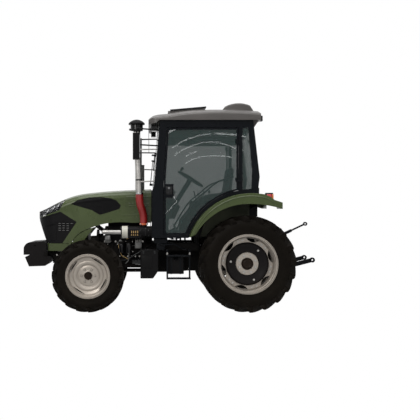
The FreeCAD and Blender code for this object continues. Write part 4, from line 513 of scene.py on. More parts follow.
# %% Tyres with their bars
def carcass_profile(outer, width, rim_width, seat, flange, lug):
    """The tyre's section, as its left half and its right half."""
    half = width / 2
    crown = outer - lug
    wall = crown - flange
    left = [(rim_width / 2 - 0.001, seat), (rim_width / 2 - 0.0005, flange - 0.004),
            (rim_width / 2 + 0.012, flange + 0.006), (rim_width / 2 + 0.013, flange + 0.016),
            (half - 0.012, flange + wall * 0.22), (half - 0.004, flange + wall * 0.36),
            (half - 0.001, flange + wall * 0.50), (half - 0.004, flange + wall * 0.64),
            (half - 0.016, flange + wall * 0.80), (half - 0.040, flange + wall * 0.93),
            (half - 0.080, crown - 0.008), (0.04, crown - 0.001), (0.0, crown)]
    return left, [(-y, r) for y, r in reversed(left[:-1])]


def carcass_radius(ridge, y):
    """Radius of the carcass at a distance from its middle, on the tread side."""
    tread = [p for p in reversed(ridge) if p[1] > ridge[6][1] - 0.001]
    for (y0, r0), (y1, r1) in zip(tread, tread[1:]):
        if y0 <= y <= y1:
            return r0 + (r1 - r0) * (y - y0) / (y1 - y0)
    return tread[-1][1]


def lug_form(center, ridge, sign, outer, width, base, tip, sweep):
    """One bar in front of the axle: sign picks its side, sweep is how far its outer end trails."""
    half = width / 2
    shoulder = 0.86
    bm = bmesh.new()
    bmesh.ops.create_cube(bm, size=1.0)
    along = [e for e in bm.edges if abs((e.verts[0].co - e.verts[1].co).y) > 0.5]
    bmesh.ops.subdivide_edges(bm, edges=along, cuts=9, use_grid_fill=True)
    for v in bm.verts:
        u = v.co.y + 0.5
        top = v.co.z > 0
        thick = tip if top else base
        reach = 0.010 + (half - 0.008) * min(u / shoulder, 1.0)
        crown = outer - 0.012 * u ** 2.5
        if u > shoulder:
            crown -= 0.052 * (u - shoulder) / (1 - shoulder)
            reach = half + 0.002 if top else half - 0.022
        radius = crown if top else min(carcass_radius(ridge, min(reach, half)), crown) - 0.012
        theta = sweep * u ** 0.85 + v.co.x * thick / radius * (1 + 0.25 * u)
        v.co = around(center, radius, theta, sign * reach)
    bmesh.ops.recalc_face_normals(bm, faces=bm.faces)
    form = bpy.data.meshes.new("lug")
    bm.to_mesh(form)
    bm.free()
    return form


def tyre(name, node, bodies, center, outer, width, rim_width, flange, seat, lug, count, base, tip, sweep, phase):
    bm = bmesh.new()
    near, far = carcass_profile(outer, width, rim_width, seat, flange, lug)
    add_turned(bm, near + far, center, steps=120)
    for sign, shift in ((1, 0.0), (-1, 0.5)):
        form = lug_form(center, near, sign, outer, width, base, tip, sweep)
        for i in range(count):
            start = len(bm.verts)
            bm.from_mesh(form)
            bm.verts.ensure_lookup_table()
            turn = Matrix.Rotation(-math.radians(phase) - 2 * math.pi * (i + shift) / count, 3, "Y")
            bmesh.ops.rotate(bm, cent=center, matrix=turn, verts=bm.verts[start:])
    pair(name, bm, rubber, bodies, node, crisp=38.0)


rear_center = sum(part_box("rear_tyre_left"), Vector()) / 2
front_center = sum(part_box("front_tyre_left"), Vector()) / 2
REAR_WHEELS = ("rear_wheel_left", "rear_wheel_right")
FRONT_WHEELS = ("front_wheel_left", "front_wheel_right")
REAR_FLANGE, FRONT_FLANGE = 0.417, 0.312
tyre("rear_tyre_tread", "rear_tyre", REAR_WHEELS, rear_center, outer=0.675, width=0.370, rim_width=0.318,
     flange=REAR_FLANGE, seat=0.393, lug=0.042, count=20, base=0.062, tip=0.034, sweep=0.33, phase=17.0)
tyre("front_tyre_tread", "front_tyre", FRONT_WHEELS, front_center, outer=0.505, width=0.240, rim_width=0.196,
     flange=FRONT_FLANGE, seat=0.288, lug=0.028, count=18, base=0.046, tip=0.026, sweep=0.33, phase=11.0)

# %% [markdown]
# ## The front wheels
#
# Each rim is a rolled section with a rounded lip, a stepped seat and a well, turned about the axle. The
# front disc is pressed: it is turned too, and then the points beyond four straight cuts are drawn in to
# them, which leaves the gaps between disc and rim. Six nuts, a hub cap, a valve and rivets finish it.

# %% Front wheels
RIM_DROP, RIM_WELL, RIM_SHEET = 0.025, 0.028, 0.007


def rim_profile(half, flange):
    """Closed section of a rolled rim."""
    seat = flange - RIM_DROP
    low = seat - RIM_WELL
    left = [(half * 0.26, low), (half * 0.46, seat - 0.002), (half * 0.9, seat), (half, seat + 0.004),
            (half + 0.001, flange - 0.005), (half + 0.005, flange), (half + 0.009, flange - 0.002),
            (half + 0.010, flange - 0.008), (half + 0.003, flange - 0.011), (half + 0.003, flange - 0.014),
            (half + 0.009, flange - 0.017), (half + 0.008, seat - 0.004),
            (half * 0.72, seat - RIM_SHEET - 0.002), (half * 0.70, seat - RIM_SHEET - 0.007),
            (half * 0.50, seat - RIM_SHEET - 0.010), (half * 0.30, low - RIM_SHEET)]
    return left + [(-y, r) for y, r in reversed(left)]


def reshaped(bm, center, before, radius_at):
    """Moves the new points in or out along their spokes, to the radius that radius_at gives."""
    for v in bm.verts:
        if v not in before:
            radius = math.hypot(v.co.x - center.x, v.co.z - center.z)
            angle = math.atan2(v.co.z - center.z, v.co.x - center.x)
            v.co = around(center, radius_at(radius, angle), angle, v.co.y - center.y)


def front_disc_radius(radius, angle):
    """The front disc is flattened at four places."""
    for degrees in (33, 123, 209, 303):
        turn = math.cos(angle - math.radians(degrees))
        if turn > 0.5:
            radius = min(radius, 0.235 / turn)
    return radius


FRONT_DISC = [(0.257, 0.021), (0.246, 0.018), (0.232, 0.010), (0.216, 0.005), (0.203, 0.013), (0.182, 0.013),
              (0.166, 0.005), (0.153, -0.011), (0.147, -0.014), (0.138, -0.009), (0.112, -0.004), (0.0, -0.004)]
disc_mid = Vector((front_center.x, 0.724, front_center.z))
bm = bmesh.new()
add_turned(bm, rim_profile(0.098, FRONT_FLANGE), front_center, steps=128)
before = set(bm.verts)
add_turned(bm, [(off, r) for r, off in FRONT_DISC] + [(off - 0.009, r) for r, off in reversed(FRONT_DISC)],
           disc_mid, steps=144)
reshaped(bm, disc_mid, before, front_disc_radius)
# A thin black ring just behind the disc is painted shade, which darkens the gaps between disc and rim.
add_turned(bm, [(-0.002, 0.226), (-0.002, 0.2515), (-0.005, 0.2515), (-0.005, 0.226)], disc_mid, mat=1)
add_rod(bm, (disc_mid.x, 0.64, disc_mid.z), (disc_mid.x, disc_mid.y - 0.010, disc_mid.z), 0.110, 48, mat=1)
add_turned(bm, [(-0.004, 0.0), (-0.004, 0.057), (0.004, 0.057), (0.008, 0.053), (0.008, 0.034), (0.003, 0.030),
                (0.003, 0.0)], disc_mid, steps=8, mat=3)
for t in circle(6):
    p = around(disc_mid, 0.095, t, -0.004)
    add_rod(bm, p, p + Vector((0, 0.0015, 0)), 0.017, 20, mat=1)
    add_nut(bm, p, (0, 1, 0), 0.023, 0.016, mat=0)
valve = around(disc_mid, 0.249, 0.305, 0.014)
add_rod(bm, valve, valve + Vector((0.002, 0.036, 0.001)), 0.0055, 10, mat=2)
for t in (0.72, 1.9, 3.3, 5.0):
    add_rod(bm, around(disc_mid, 0.262, t, 0.026), around(disc_mid, 0.262, t, 0.034), 0.008, 12, mat=0)
pair("front_wheel", bm, silver, FRONT_WHEELS, "front_rim", mats=[silver, gloss_black, zinc, hub_brown])
print("front wheels done")

# %% [markdown]
# ## The rear wheels
#
# The rear disc is a flat ring whose edge is scalloped six times, so that it meets the rim between the
# gaps, where pairs of nuts hold it. It is turned and its outer points are then drawn in. A raised ring
# and a hub cap with eight nuts stand in the middle.

# %% Rear wheels
REAR_WELL = REAR_FLANGE - RIM_DROP - RIM_WELL - RIM_SHEET


def rear_disc_radius(radius, angle):
    """Six scallops in the rear disc's edge; its inner edge stays round."""
    lobe = math.cos(6 * (angle - math.radians(43)))
    return radius - 0.052 * lobe ** 0.7 if radius > REAR_WELL and lobe > 0 else radius


bm = bmesh.new()
add_turned(bm, rim_profile(0.159, REAR_FLANGE), rear_center, steps=144)
c = Vector((rear_center.x, 0.710, rear_center.z))
before = set(bm.verts)
add_turned(bm, [(0.0, REAR_WELL + 0.002), (0.012, REAR_WELL + 0.002), (0.012, 0.12), (0.0, 0.12)], c, steps=240)
reshaped(bm, c, before, rear_disc_radius)
for i in range(6):
    for apart in (-0.10, 0.10):
        add_nut(bm, around(c, 0.335, math.radians(13 + 60 * i) + apart, 0.012), (0, 1, 0), 0.022, 0.012, mat=2)
hub_face = (c.x, c.y + 0.012, c.z)
add_turned(bm, [(0.0, 0.075), (0.0, 0.158), (0.020, 0.158), (0.026, 0.152), (0.026, 0.088), (0.020, 0.082),
                (0.010, 0.075)], hub_face, steps=72)
add_turned(bm, [(0.0, 0.0), (0.0, 0.083), (0.022, 0.083), (0.022, 0.070), (0.040, 0.060), (0.044, 0.050),
                (0.040, 0.044), (0.040, 0.0)], hub_face, steps=48, mat=3)
for t in circle(8):
    add_nut(bm, around(c, 0.120, t + math.radians(22.5), 0.038), (0, 1, 0), 0.026, 0.016, mat=2)
add_rod(bm, (c.x, 0.49, c.z), c, 0.088, 48, mat=1)
add_rod(bm, c + Vector((0.02, 0.004, 0.362)), c + Vector((0.024, 0.040, 0.366)), 0.006, 10, mat=2)
pair("rear_wheel", bm, silver, REAR_WHEELS, "rear_rim", mats=[silver, gloss_black, zinc, hub_brown])
print("rear wheels done")

# %% [markdown]
# ## The rear weights
#
# A cast iron ring covers the middle of each rear wheel and gives it grip. One section, thick outside and
# sloping down to the hub, is turned about the axle, and three bosses with nuts hold it.

# %% Rear weights
bm = bmesh.new()
add_turned(bm, [(0.001, 0.160), (0.001, 0.292), (0.006, 0.300), (0.030, 0.300), (0.044, 0.292), (0.056, 0.274),
                (0.052, 0.256), (0.040, 0.234), (0.030, 0.205), (0.022, 0.180), (0.018, 0.165)], hub_face, steps=120)
for t in circle(3):
    p = around(hub_face, 0.236, t + math.radians(8), 0.040)
    add_rod(bm, p, p + Vector((0, 0.010, 0)), 0.022, 24)
    add_nut(bm, p + Vector((0, 0.009, 0)), (0, 1, 0), 0.024, 0.012, mat=1)
pair("rear_weight", bm, weight_iron, REAR_WHEELS, "rear_weight", mats=[weight_iron, zinc])
print("rear weights done")

# %% [markdown]
# ## Panels
#
# The painted panels keep the form of the solids. Their sharp edges are rounded a little, since a pressed
# sheet has no knife edge, and light catches on the round. Nodes that need no rounding are only painted.

# %% Painted panels and castings
def softened(node, mat, width, segments):
    """A copy of a CAD node with its sharp edges rounded, which is shown in its place."""
    source = nodes[node]
    bm = bmesh.new()
    bm.from_mesh(source.data)
    bmesh.ops.remove_doubles(bm, verts=bm.verts, dist=2e-5)
    bmesh.ops.dissolve_limit(bm, angle_limit=math.radians(1.0), verts=bm.verts, edges=bm.edges)
    for face in bm.faces:
        face.material_index = 0
    obj = piece(node + "_rounded", bm, mat, source["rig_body"], [node])
    bevel = obj.modifiers.new("rounding", "BEVEL")
    bevel.width = width
    bevel.segments = segments
    bevel.limit_method = "ANGLE"
    bevel.angle_limit = math.radians(32)
    bevel.harden_normals = False


def paint(node, mat):
    """Gives a CAD node that stays in view its finish."""
    mesh = nodes[node].data
    if len(mesh.materials) == 0:
        mesh.materials.append(mat)
    for i in range(len(mesh.materials)):
        mesh.materials[i] = mat


for node, mat, slot, width, segments in (
        ("hood", green, "green_paint", 0.004, 3), ("lower_fairings", green, "green_paint", 0.002, 2),
        ("rear_fenders", green, "green_paint", 0.006, 3), ("roof", roof_paint, "roof_paint", 0.008, 3),
        ("roof_hatch", gloss_black, "black_plastic", 0.005, 3), ("cab_frame", frame_black, "black_frame", 0.004, 2),
        ("door_left", frame_black, "black_frame", 0.004, 2), ("knuckle_left", casting, "chassis_black", 0.006, 2),
        ("door_right", frame_black, "black_frame", 0.004, 2), ("knuckle_right", casting, "chassis_black", 0.006, 2),
        ("front_weights", weight_iron, "weight_iron", 0.007, 3), ("front_axle", casting, "chassis_black", 0.008, 2),
        ("front_frame", casting, "chassis_black", 0.006, 2), ("drivetrain", casting, "chassis_black", 0.008, 2),
        ("engine", casting, "chassis_black", 0.008, 2), ("side_boxes", plastic, "black_plastic", 0.012, 3),
        ("steps", frame_black, "black_frame", 0.003, 2), ("mirrors", plastic, "black_plastic", 0.012, 3),
        ("lift_arms", frame_black, "linkage_paint", 0.003, 2),
        ("lower_links", frame_black, "linkage_paint", 0.003, 2), ("drawbar", casting, "chassis_black", 0.004, 2),
        ("console", plastic, "black_plastic", 0.010, 3)):
    softened(node, mat, width, segments)
for node, mat in (("grille", plastic), ("headlamps", lens), ("bulkhead", frame_black), ("radiator", casting),
                  ("air_cleaner", plastic), ("intake_pipes", steel), ("intake_hose", hose_red),
                  ("exhaust", steel), ("cab_floor", plastic), ("cab_glass", glass), ("door_glass_left", glass),
                  ("door_glass_right", glass), ("lamps", gloss_black), ("seat", cloth),
                  ("steering_wheel", plastic), ("tie_rod", frame_black), ("lift_rods", frame_black),
                  ("top_link", frame_black)):
    paint(node, mat)
print("panels done")

# %% [markdown]
# ## Trim on the hood
#
# The hood's sides are curved both ways, so its trims are wrapped: each point of a strip is found by
# looking at the hood level from the side and is then lifted along the surface's normal. The hood gets its
# pressed lines, the vent its slats and rim.

# %% Pressed lines and vent
def tree_of(*names):
    """What is needed to look at the surface of some CAD nodes from outside."""
    skin = bmesh.new()
    for name in names:
        skin.from_mesh(nodes[name].data)
    tree = BVHTree.FromBMesh(skin)
    skin.free()
    return tree


def hood_side(x, z):
    """The left outer surface of the hood at x and z: a point and the normal there."""
    hit, normal = skin_tree.ray_cast(Vector((x, 1.0, z)), Vector((0, -1, 0)))[:2]
    if hit is None or hit.y < 0.02:
        return None
    return hit, normal if normal.y > 0 else -normal


def between(line, step):
    """A line of (x, z) points with more points along it."""
    out = []
    for (x0, z0), (x1, z1) in zip(line, line[1:]):
        count = max(1, round(math.hypot(x1 - x0, z1 - z0) / step))
        out += [(x0 + (x1 - x0) * k / count, z0 + (z1 - z0) * k / count) for k in range(count)]
    return out + [line[-1]]


def add_strip(bm, line, surface, width, height, top=0.5, closed=False):
    """A raised strip along a line of (x, z) points on the machine's left, on the given surface."""
    sink = 0.002
    spots = [spot for spot in (surface(x, z) for x, z in between(line, 0.03)) if spot]
    last = len(spots) - 1
    sections = []
    for i, (p, n) in enumerate(spots):
        if closed:
            before, after = spots[i - 1], spots[(i + 1) % len(spots)]
        else:
            before, after = spots[max(i - 1, 0)], spots[min(i + 1, last)]
        side = (after[0] - before[0]).cross(n).normalized() * width / 2
        sections.append((p - n * sink - side, p + n * height - side * top,
                         p + n * height + side * top, p - n * sink + side))
    if sections:
        add_sweep(bm, sections, closed=closed)


def spans(outline, z):
    """Where a level line at height z runs inside an outline of (x, z) points."""
    cuts = []
    for (x0, z0), (x1, z1) in zip(outline, outline[1:] + outline[:1]):
        if (z0 - z) * (z1 - z) < 0:
            cuts.append(x0 + (x1 - x0) * (z - z0) / (z1 - z0))
    cuts.sort()
    return list(zip(cuts[0::2], cuts[1::2]))


HOOD = ("hood", "hood")
VENT = [(1.430, 1.509), (1.338, 1.563), (1.169, 1.601), (1.003, 1.610), (0.863, 1.592),
        (0.776, 1.560), (0.712, 1.490), (0.732, 1.445), (1.009, 1.359), (1.111, 1.416)]
skin_tree = tree_of("hood", "grille", "headlamps", "lower_fairings")
bm = bmesh.new()
for z, x_end in ((1.617, 0.64), (1.578, 0.60), (1.519, 0.59), (1.487, 0.59)):
    add_strip(bm, [(0.280, z), (x_end, z)], hood_side, 0.020, 0.0035, top=0.30)
add_strip(bm, [(0.280, 1.352), (0.560, 1.350), (0.700, 1.346)], hood_side, 0.026, 0.003, top=0.25)
add_strip(bm, [(1.520, 1.535), (1.300, 1.620), (1.080, 1.652), (0.760, 1.668), (0.280, 1.676)], hood_side, 0.022,
          0.0035, top=0.25)
pair("pressed_lines", bm, green, HOOD)

SLAT_STEP = 0.0165
bm = bmesh.new()
z = 1.378
while z < 1.60:
    for x0, x1 in spans(VENT, z):
        if x1 - x0 > 0.06:
            add_strip(bm, [(x0 + 0.014, z), (x1 - 0.014, z)], hood_side, 0.007, 0.003)
    z += SLAT_STEP
add_strip(bm, VENT, hood_side, 0.012, 0.0045, top=0.6)
pair("vent_slats", bm, plastic, HOOD)
print("hood lines and vent done")

# %% [markdown]
# ## Trim on the grille
#
# The grille's slots are cut in the solids. Here each gets a light grey lip on its lower edge, which is a
# painted highlight, the black side panel its folds, and the nose its level bars, each found by looking at
# the nose from ahead.

# %% Grille
bm = bmesh.new()
# The light grey lips in the slots are painted highlights on their lower edges.
for row in range(4):
    for column in range(4):
        x = 1.603 - column * 0.060
        z = 1.228 - row * 0.033
        spot = hood_side(x, z + 0.0095)
        if spot and x - 0.041 >= 1.351 + (1.249 - z) * 0.681:
            y = spot[0].y
            add_box(bm, (x - 0.018, y - 0.004, z - 0.0042), (x + 0.018, y + 0.0025, z + 0.0015), 0.0012, mat=1,
                    segments=1)
add_strip(bm, [(1.815, 1.190), (1.536, 1.268), (1.440, 1.222)], hood_side, 0.012, 0.005, top=0.3)
add_strip(bm, [(1.792, 1.180), (1.654, 1.218), (1.654, 0.990), (1.724, 0.962)], hood_side, 0.009, 0.003, top=0.3,
          closed=True)
add_strip(bm, [(1.885, 1.296), (1.600, 1.382)], hood_side, 0.012, 0.004, top=0.4)
pair("grille_folds", bm, plastic, HOOD, mats=[plastic, slot_grey])

bm = bmesh.new()
for k in range(12):
    z = 0.975 + k * 0.026
    hit = skin_tree.ray_cast(Vector((2.3, 0.02, z)), Vector((-1, 0, 0)))[0]
    if hit:
        add_box(bm, (hit.x - 0.006, -0.105, z - 0.0045), (hit.x + 0.003, 0.105, z + 0.0045), 0.002, segments=1)
piece("nose_bars", bm, slot_grey, "hood")
print("grille done")

# %% [markdown]
# ## The headlamps
#
# Behind the clear lens stand a black housing, three bowls with their bulbs, and bright strips. The housing
# is a grid laid a little behind the lens, a bowl is a line spun about the way it faces, and a strip is
# swept along the lens at one height.

# %% Headlamps
def lamp_spot(along, up, depth):
    """A point behind the lamp's lens: along from its rear end to the nose, up from its lower edge."""
    x = (1.630 + 0.262 * along) * (1 - up) + (1.568 + 0.330 * along) * up
    z = (1.436 - 0.098 * along) * (1 - up) + (1.604 - 0.190 * along) * up
    spot = hood_side(x, z)
    return (spot[0] - spot[1] * depth, spot[1]) if spot else None


def add_bowl(bm, center, facing, radius, depth):
    """An open bowl that faces along a direction, with a bulb in it."""
    d = Vector(facing).normalized()
    out_way = d.to_track_quat("Z", "Y").to_matrix() @ Vector((1, 0, 0))
    profile = [(radius + 0.003, 0.004)]
    for k in range(7):
        t = k / 6 * math.pi / 2
        profile.append((radius * math.cos(t * 0.92), depth * math.sin(t)))
    points = [bm.verts.new(center + out_way * r - d * back) for r, back in profile]
    edges = [bm.edges.new(ends) for ends in zip(points, points[1:])]
    before = set(bm.faces)
    bmesh.ops.spin(bm, geom=points + edges, cent=center, axis=d, angle=2 * math.pi, steps=28, use_merge=True)
    made = {e for f in bm.faces if f not in before for e in f.edges if e.is_boundary}
    bottom = [e for e in made if (e.verts[0].co - center).dot(d) < -0.9 * depth]
    bmesh.ops.edgeloop_fill(bm, edges=bottom)
    add_rod(bm, center - d * depth * 0.9, center - d * depth * 0.1, 0.007, 12)


bm = bmesh.new()
lost = []
for v in bmesh.ops.create_grid(bm, x_segments=14, y_segments=6, size=0.5)["verts"]:
    spot = lamp_spot(0.015 + 0.97 * (v.co.x + 0.5), 0.03 + 0.94 * (v.co.y + 0.5), 0.026)
    if spot:
        v.co = spot[0]
    else:
        lost.append(v)
bmesh.ops.delete(bm, geom=lost, context="VERTS")
pair("lamp_housing", bm, gloss_black, HOOD)

bm = bmesh.new()
for along, up, radius in ((0.17, 0.50, 0.040), (0.42, 0.50, 0.046), (0.70, 0.46, 0.040)):
    spot = lamp_spot(along, up, 0.012)
    if spot:
        add_bowl(bm, spot[0], spot[1] + Vector((0.55, 0, 0)), radius, 0.026)
for height, first, final, wide in ((0.10, 0.02, 0.97, 0.010), (0.20, 0.05, 0.92, 0.005)):
    rows = []
    for k in range(25):
        t = first + (final - first) * k / 24
        low, high = lamp_spot(t, height, 0.010), lamp_spot(t, height + wide / 0.17, 0.010)
        if low and high:
            rows.append((low[0], high[0], high[0] - high[1] * 0.004, low[0] - low[1] * 0.004))
    add_sweep(bm, rows)
for t in (0.04, 0.285, 0.55, 0.86, 0.93):
    a, b = lamp_spot(t, 0.14, 0.012), lamp_spot(t + 0.03, 0.84, 0.012)
    if a and b:
        add_rod(bm, a[0], b[0], 0.0035, 8)
pair("lamp_reflectors", bm, chrome, HOOD)
print("headlamps done")

# %% [markdown]
# ## The air cleaner
#
# A cream band, brass slots and clamps dress the air cleaner's canister. All of them are rings turned about
# the canister, or small plates laid on its side at an angle. Orange clamps hold the red hose.

# %% Canister and hose
CHASSIS = "chassis"
BOTH = (CHASSIS, CHASSIS)
mid = Vector((0.0, 0.430, 1.106))
bm = bmesh.new()
for x0, x1, r, m in ((0.602, 0.683, 0.0895, 0), (0.688, 0.700, 0.0915, 1), (0.590, 0.598, 0.0905, 1),
                     (0.345, 0.352, 0.0905, 1), (0.206, 0.214, 0.0905, 1)):
    add_turned(bm, [(x0, 0.086), (x0, r), (x1, r), (x1, 0.086)], mid, axis="X", steps=64, mat=m)
add_turned(bm, [(0.186, 0.0), (0.186, 0.060), (0.180, 0.068), (0.180, 0.084), (0.190, 0.0905), (0.198, 0.0905),
                (0.198, 0.0)], mid, axis="X", steps=64, mat=1)


def add_tag(bm, x, angle, radius, half, bevel, mat, segments):
    """A small plate on the canister's side, at an angle above its middle."""
    spot = mid + Vector((x, math.cos(angle) * radius, math.sin(angle) * radius))
    add_box(bm, spot - Vector(half), spot + Vector(half), bevel, Matrix.Rotation(angle, 3, "X"), mat, segments)


for x in (0.545, 0.516, 0.488, 0.459):
    for angle, tall in ((0.07, 0.033), (-0.43, 0.028)):
        add_tag(bm, x, angle, 0.0885, (0.0045, 0.0015, tall / 2), 0.001, 2, 1)
for x in (0.420, 0.300):
    for angle in (0.35, -0.55):
        add_tag(bm, x, angle, 0.090, (0.007, 0.004, 0.016), 0.002, 1, 2)
piece("canister_trim", bm, plastic, CHASSIS, mats=[white_band, gloss_black, brass])

bm = bmesh.new()
add_turned(bm, [(-0.012, 0.050), (-0.012, 0.0600), (0.012, 0.0600), (0.012, 0.050)], (0.372, 0.430, 1.222),
           axis="Z", steps=48, mat=0)
for x in (0.318, 0.408):
    add_box(bm, (x, 0.470, 1.214), (x + 0.018, 0.492, 1.230), 0.003, mat=1)
joint = Vector((0.434, 0.478, 1.660))
add_turned(bm, [(-0.010, 0.046), (-0.010, 0.0585), (0.010, 0.0585), (0.010, 0.046)], joint, axis="Z", steps=48, mat=1)
add_box(bm, joint + Vector((-0.012, 0.050, -0.012)), joint + Vector((0.022, 0.066, 0.012)), 0.003, mat=1)
piece("hose_clamps", bm, clamp_orange, CHASSIS, mats=[clamp_orange, chrome])
print("air cleaner done")

# %% [markdown]
# ## The stacks
#
# The intake stack carries collars at its joints and a ring of slats below its cap. The exhaust on the
# right has a heat shield, whose slots are rows of small dark plates turned to face outwards: painted
# shade where the openings are.

# %% Stacks
bm = bmesh.new()
for z0, z1, r in ((1.846, 1.866, 0.050), (2.542, 2.560, 0.052)):
    x = 0.434 + 0.036 * (z0 - 1.668) / (2.560 - 1.668)
    add_turned(bm, [(0, 0.046), (0, r), (z1 - z0, r), (z1 - z0, 0.046)], (x, 0.478, z0), axis="Z", steps=40)


def add_slat(bm, center, radius, angle, half, bevel):
    """A small plate on an upright pipe, facing outwards at an angle."""
    p = Vector(center) + Vector((radius * math.cos(angle), radius * math.sin(angle), 0))
    add_box(bm, p - Vector(half), p + Vector(half), bevel, Matrix.Rotation(angle, 3, "Z"), segments=1)


for a in circle(14):
    add_slat(bm, (0.4725, 0.478, 2.606), 0.0850, a, (0.003, 0.012, 0.034), 0.002)
add_rod(bm, (0.560, 0.478, 2.590), (0.556, 0.478, 2.560), 0.010, 12)
add_box(bm, (0.548, 0.462, 2.566), (0.582, 0.494, 2.592), 0.004)
piece("stack_trim", bm, gloss_black, CHASSIS)

bm = bmesh.new()
# The shield's slots are small dark plates on its face, painted shade in place of the openings.
for k in range(24):
    for a in (-2.5, -1.9, -1.25, 0.2, 0.8):
        add_slat(bm, (0.440, -0.478, 1.52 + 0.024 * k), 0.0725, a, (0.0012, 0.012, 0.0045), 0.001)
for z in (1.455, 2.118):
    add_turned(bm, [(0, 0.034), (0, 0.074), (0.008, 0.074), (0.008, 0.034)], (0.440, -0.478, z), axis="Z", steps=40)
piece("exhaust_trim", bm, gloss_black, CHASSIS)
print("stacks done")

# %% [markdown]
# ## The fenders' beads
#
# Each rear fender has a raised bead along its outer edge, which stiffens the sheet. It's a strip, like
# those on the hood, laid along an arc about the middle of the fender's curve and down its tail.

# %% Fender beads
def fender_side(x, z):
    """The left fender's outer surface at x and z."""
    hit = fender_tree.ray_cast(Vector((x, 1.2, z)), Vector((0, -1, 0)))[0]
    return (hit, Vector((0, 1, 0))) if hit and hit.y >= 0.7 else None


FENDER_MID, FENDER_BEAD = (-1.120, 0.759), 0.858
fender_tree = tree_of("rear_fenders")
line = []
for k in range(25):
    a = math.radians(22 + 75 * k / 24)
    line.append((FENDER_MID[0] + FENDER_BEAD * math.cos(a), FENDER_MID[1] + FENDER_BEAD * math.sin(a)))
bm = bmesh.new()
add_strip(bm, line + [(-1.330, 1.588), (-1.430, 1.530)], fender_side, 0.024, 0.007, top=0.22)
pair("fender_bead", bm, green, BOTH)
print("fender beads done")

# %% [markdown]
# ## Tail lamps and work lamps
#
# A tail lamp is a black case with an amber lens behind and a ribbed red one at its side. The work lamps on
# the roof are boxes in the solids, and each gets a dark rim, two bowls and a clear cover.

# %% Lamps
bm = bmesh.new()
add_box(bm, (-1.424, 0.712, 1.556), (-1.320, 0.838, 1.660), 0.014, segments=3)
add_box(bm, (-1.4275, 0.722, 1.566), (-1.404, 0.8405, 1.650), 0.010, segments=3, mat=1)
add_box(bm, (-1.402, 0.830, 1.572), (-1.330, 0.8400, 1.646), 0.006, segments=3, mat=2)
for k in range(5):
    x = -1.398 + 0.013 * k
    add_box(bm, (x, 0.8385, 1.576), (x + 0.007, 0.8408, 1.642), 0.0008, segments=1, mat=2)
pair("tail_lamps", bm, red_lens, BOTH, mats=[plastic, amber_lens, red_lens])

bm = bmesh.new()
LAMP_Y = 0.430
for x_face, way, z0, z1 in ((-1.332, -1, 2.700, 2.776), (0.262, 1, 2.560, 2.660)):
    back, front = x_face - way * 0.004, x_face + way * 0.004
    add_box(bm, (min(x_face, back), LAMP_Y - 0.055, z0), (max(x_face, back), LAMP_Y + 0.055, z1), 0.001, mat=1)
    for y in (LAMP_Y - 0.026, LAMP_Y + 0.026):
        add_bowl(bm, Vector((x_face + way * 0.001, y, (z0 + z1) / 2)), (way, 0, 0), 0.022, 0.010)
    add_box(bm, (min(x_face, front), LAMP_Y - 0.050, z0 + 0.006), (max(x_face, front), LAMP_Y + 0.050, z1 - 0.006),
            0.001, mat=2)
pair("work_lamp_faces", bm, chrome, BOTH, mats=[chrome, gloss_black, lens])
print("lamps done")

# %% [markdown]
# ## The doors
#
# A rail runs slantwise inside each door's glass to hold on to, and its lock outside has a push button and
# a pull handle. The rail is a tube along a line; the handle is one too, with its corners rounded first.

# %% Doors
def bent(points, bend, steps=6):
    """A line of points with its corners rounded to the bend radius."""
    spots = [Vector(p) for p in points]
    line = [spots[0]]
    for last, spot, following in zip(spots, spots[1:], spots[2:]):
        a = spot - (spot - last).normalized() * bend
        b = spot + (following - spot).normalized() * bend
        for k in range(steps + 1):
            t = k / steps
            line.append(a * (1 - t) ** 2 + spot * 2 * t * (1 - t) + b * t ** 2)
    return line + [spots[-1]]


DOORS = ("door_left", "door_right")
RAIL = [(-0.890, 1.896), (-0.820, 1.874), (-0.696, 1.836), (-0.600, 1.770), (-0.512, 1.690), (-0.440, 1.635),
        (-0.369, 1.575), (-0.290, 1.480), (-0.225, 1.379), (-0.160, 1.270), (-0.100, 1.165)]
bm = bmesh.new()
add_tube(bm, [(x, 0.600, z) for x, z in RAIL], 0.012, 14)
for x, z in (RAIL[0], RAIL[-1]):
    add_rod(bm, (x, 0.600, z), (x, 0.628, z), 0.016, 16)
pair("door_rails", bm, frame_black, DOORS)
bm = bmesh.new()
add_box(bm, (-0.030, 0.684, 1.640), (0.062, 0.690, 1.760), 0.006, segments=3)
add_rod(bm, (0.018, 0.690, 1.735), (0.018, 0.698, 1.735), 0.013, 24, mat=1)
add_rod(bm, (0.018, 0.690, 1.735), (0.018, 0.6995, 1.735), 0.007, 16, mat=0)
add_tube(bm, bent([(0.050, 0.688, 1.655), (0.050, 0.722, 1.660), (-0.026, 0.722, 1.690), (-0.026, 0.690, 1.700)],
                  0.014), 0.007, 12)
pair("door_locks", bm, gloss_black, DOORS, mats=[gloss_black, chrome])
print("doors done")

# %% [markdown]
# ## Lining and panels in the cab
#
# A padded lining with speakers hangs under the roof, and flat panels cover the wheel arches, the footwell
# and the front corners. A panel is the outline of the real sheet, drawn twice and closed all round at its edge.

# %% Lining and panels
def add_plate(bm, outline, y, thick):
    """A flat panel of (x, z) corners, from y inwards by its thickness."""
    near = [bm.verts.new((x, y, z)) for x, z in outline]
    far = [bm.verts.new((x, y - thick, z)) for x, z in outline]
    bm.faces.new(near)
    bm.faces.new(list(reversed(far)))
    for i in range(len(outline)):
        n = (i + 1) % len(outline)
        bm.faces.new((near[i], near[n], far[n], far[i]))


bm = bmesh.new()
add_box(bm, (-1.090, -0.590, 2.440), (0.050, 0.590, 2.560), 0.030, segments=3)
add_box(bm, (-0.960, -0.300, 2.405), (-0.260, 0.300, 2.445), 0.020, segments=3)
for y in (-0.420, 0.420):
    for x in (-0.140, -0.300):
        add_rod(bm, (x, y, 2.430), (x, y, 2.442), 0.034, 24, mat=1)
piece("roof_lining", bm, lining, CHASSIS, mats=[lining, gloss_black])

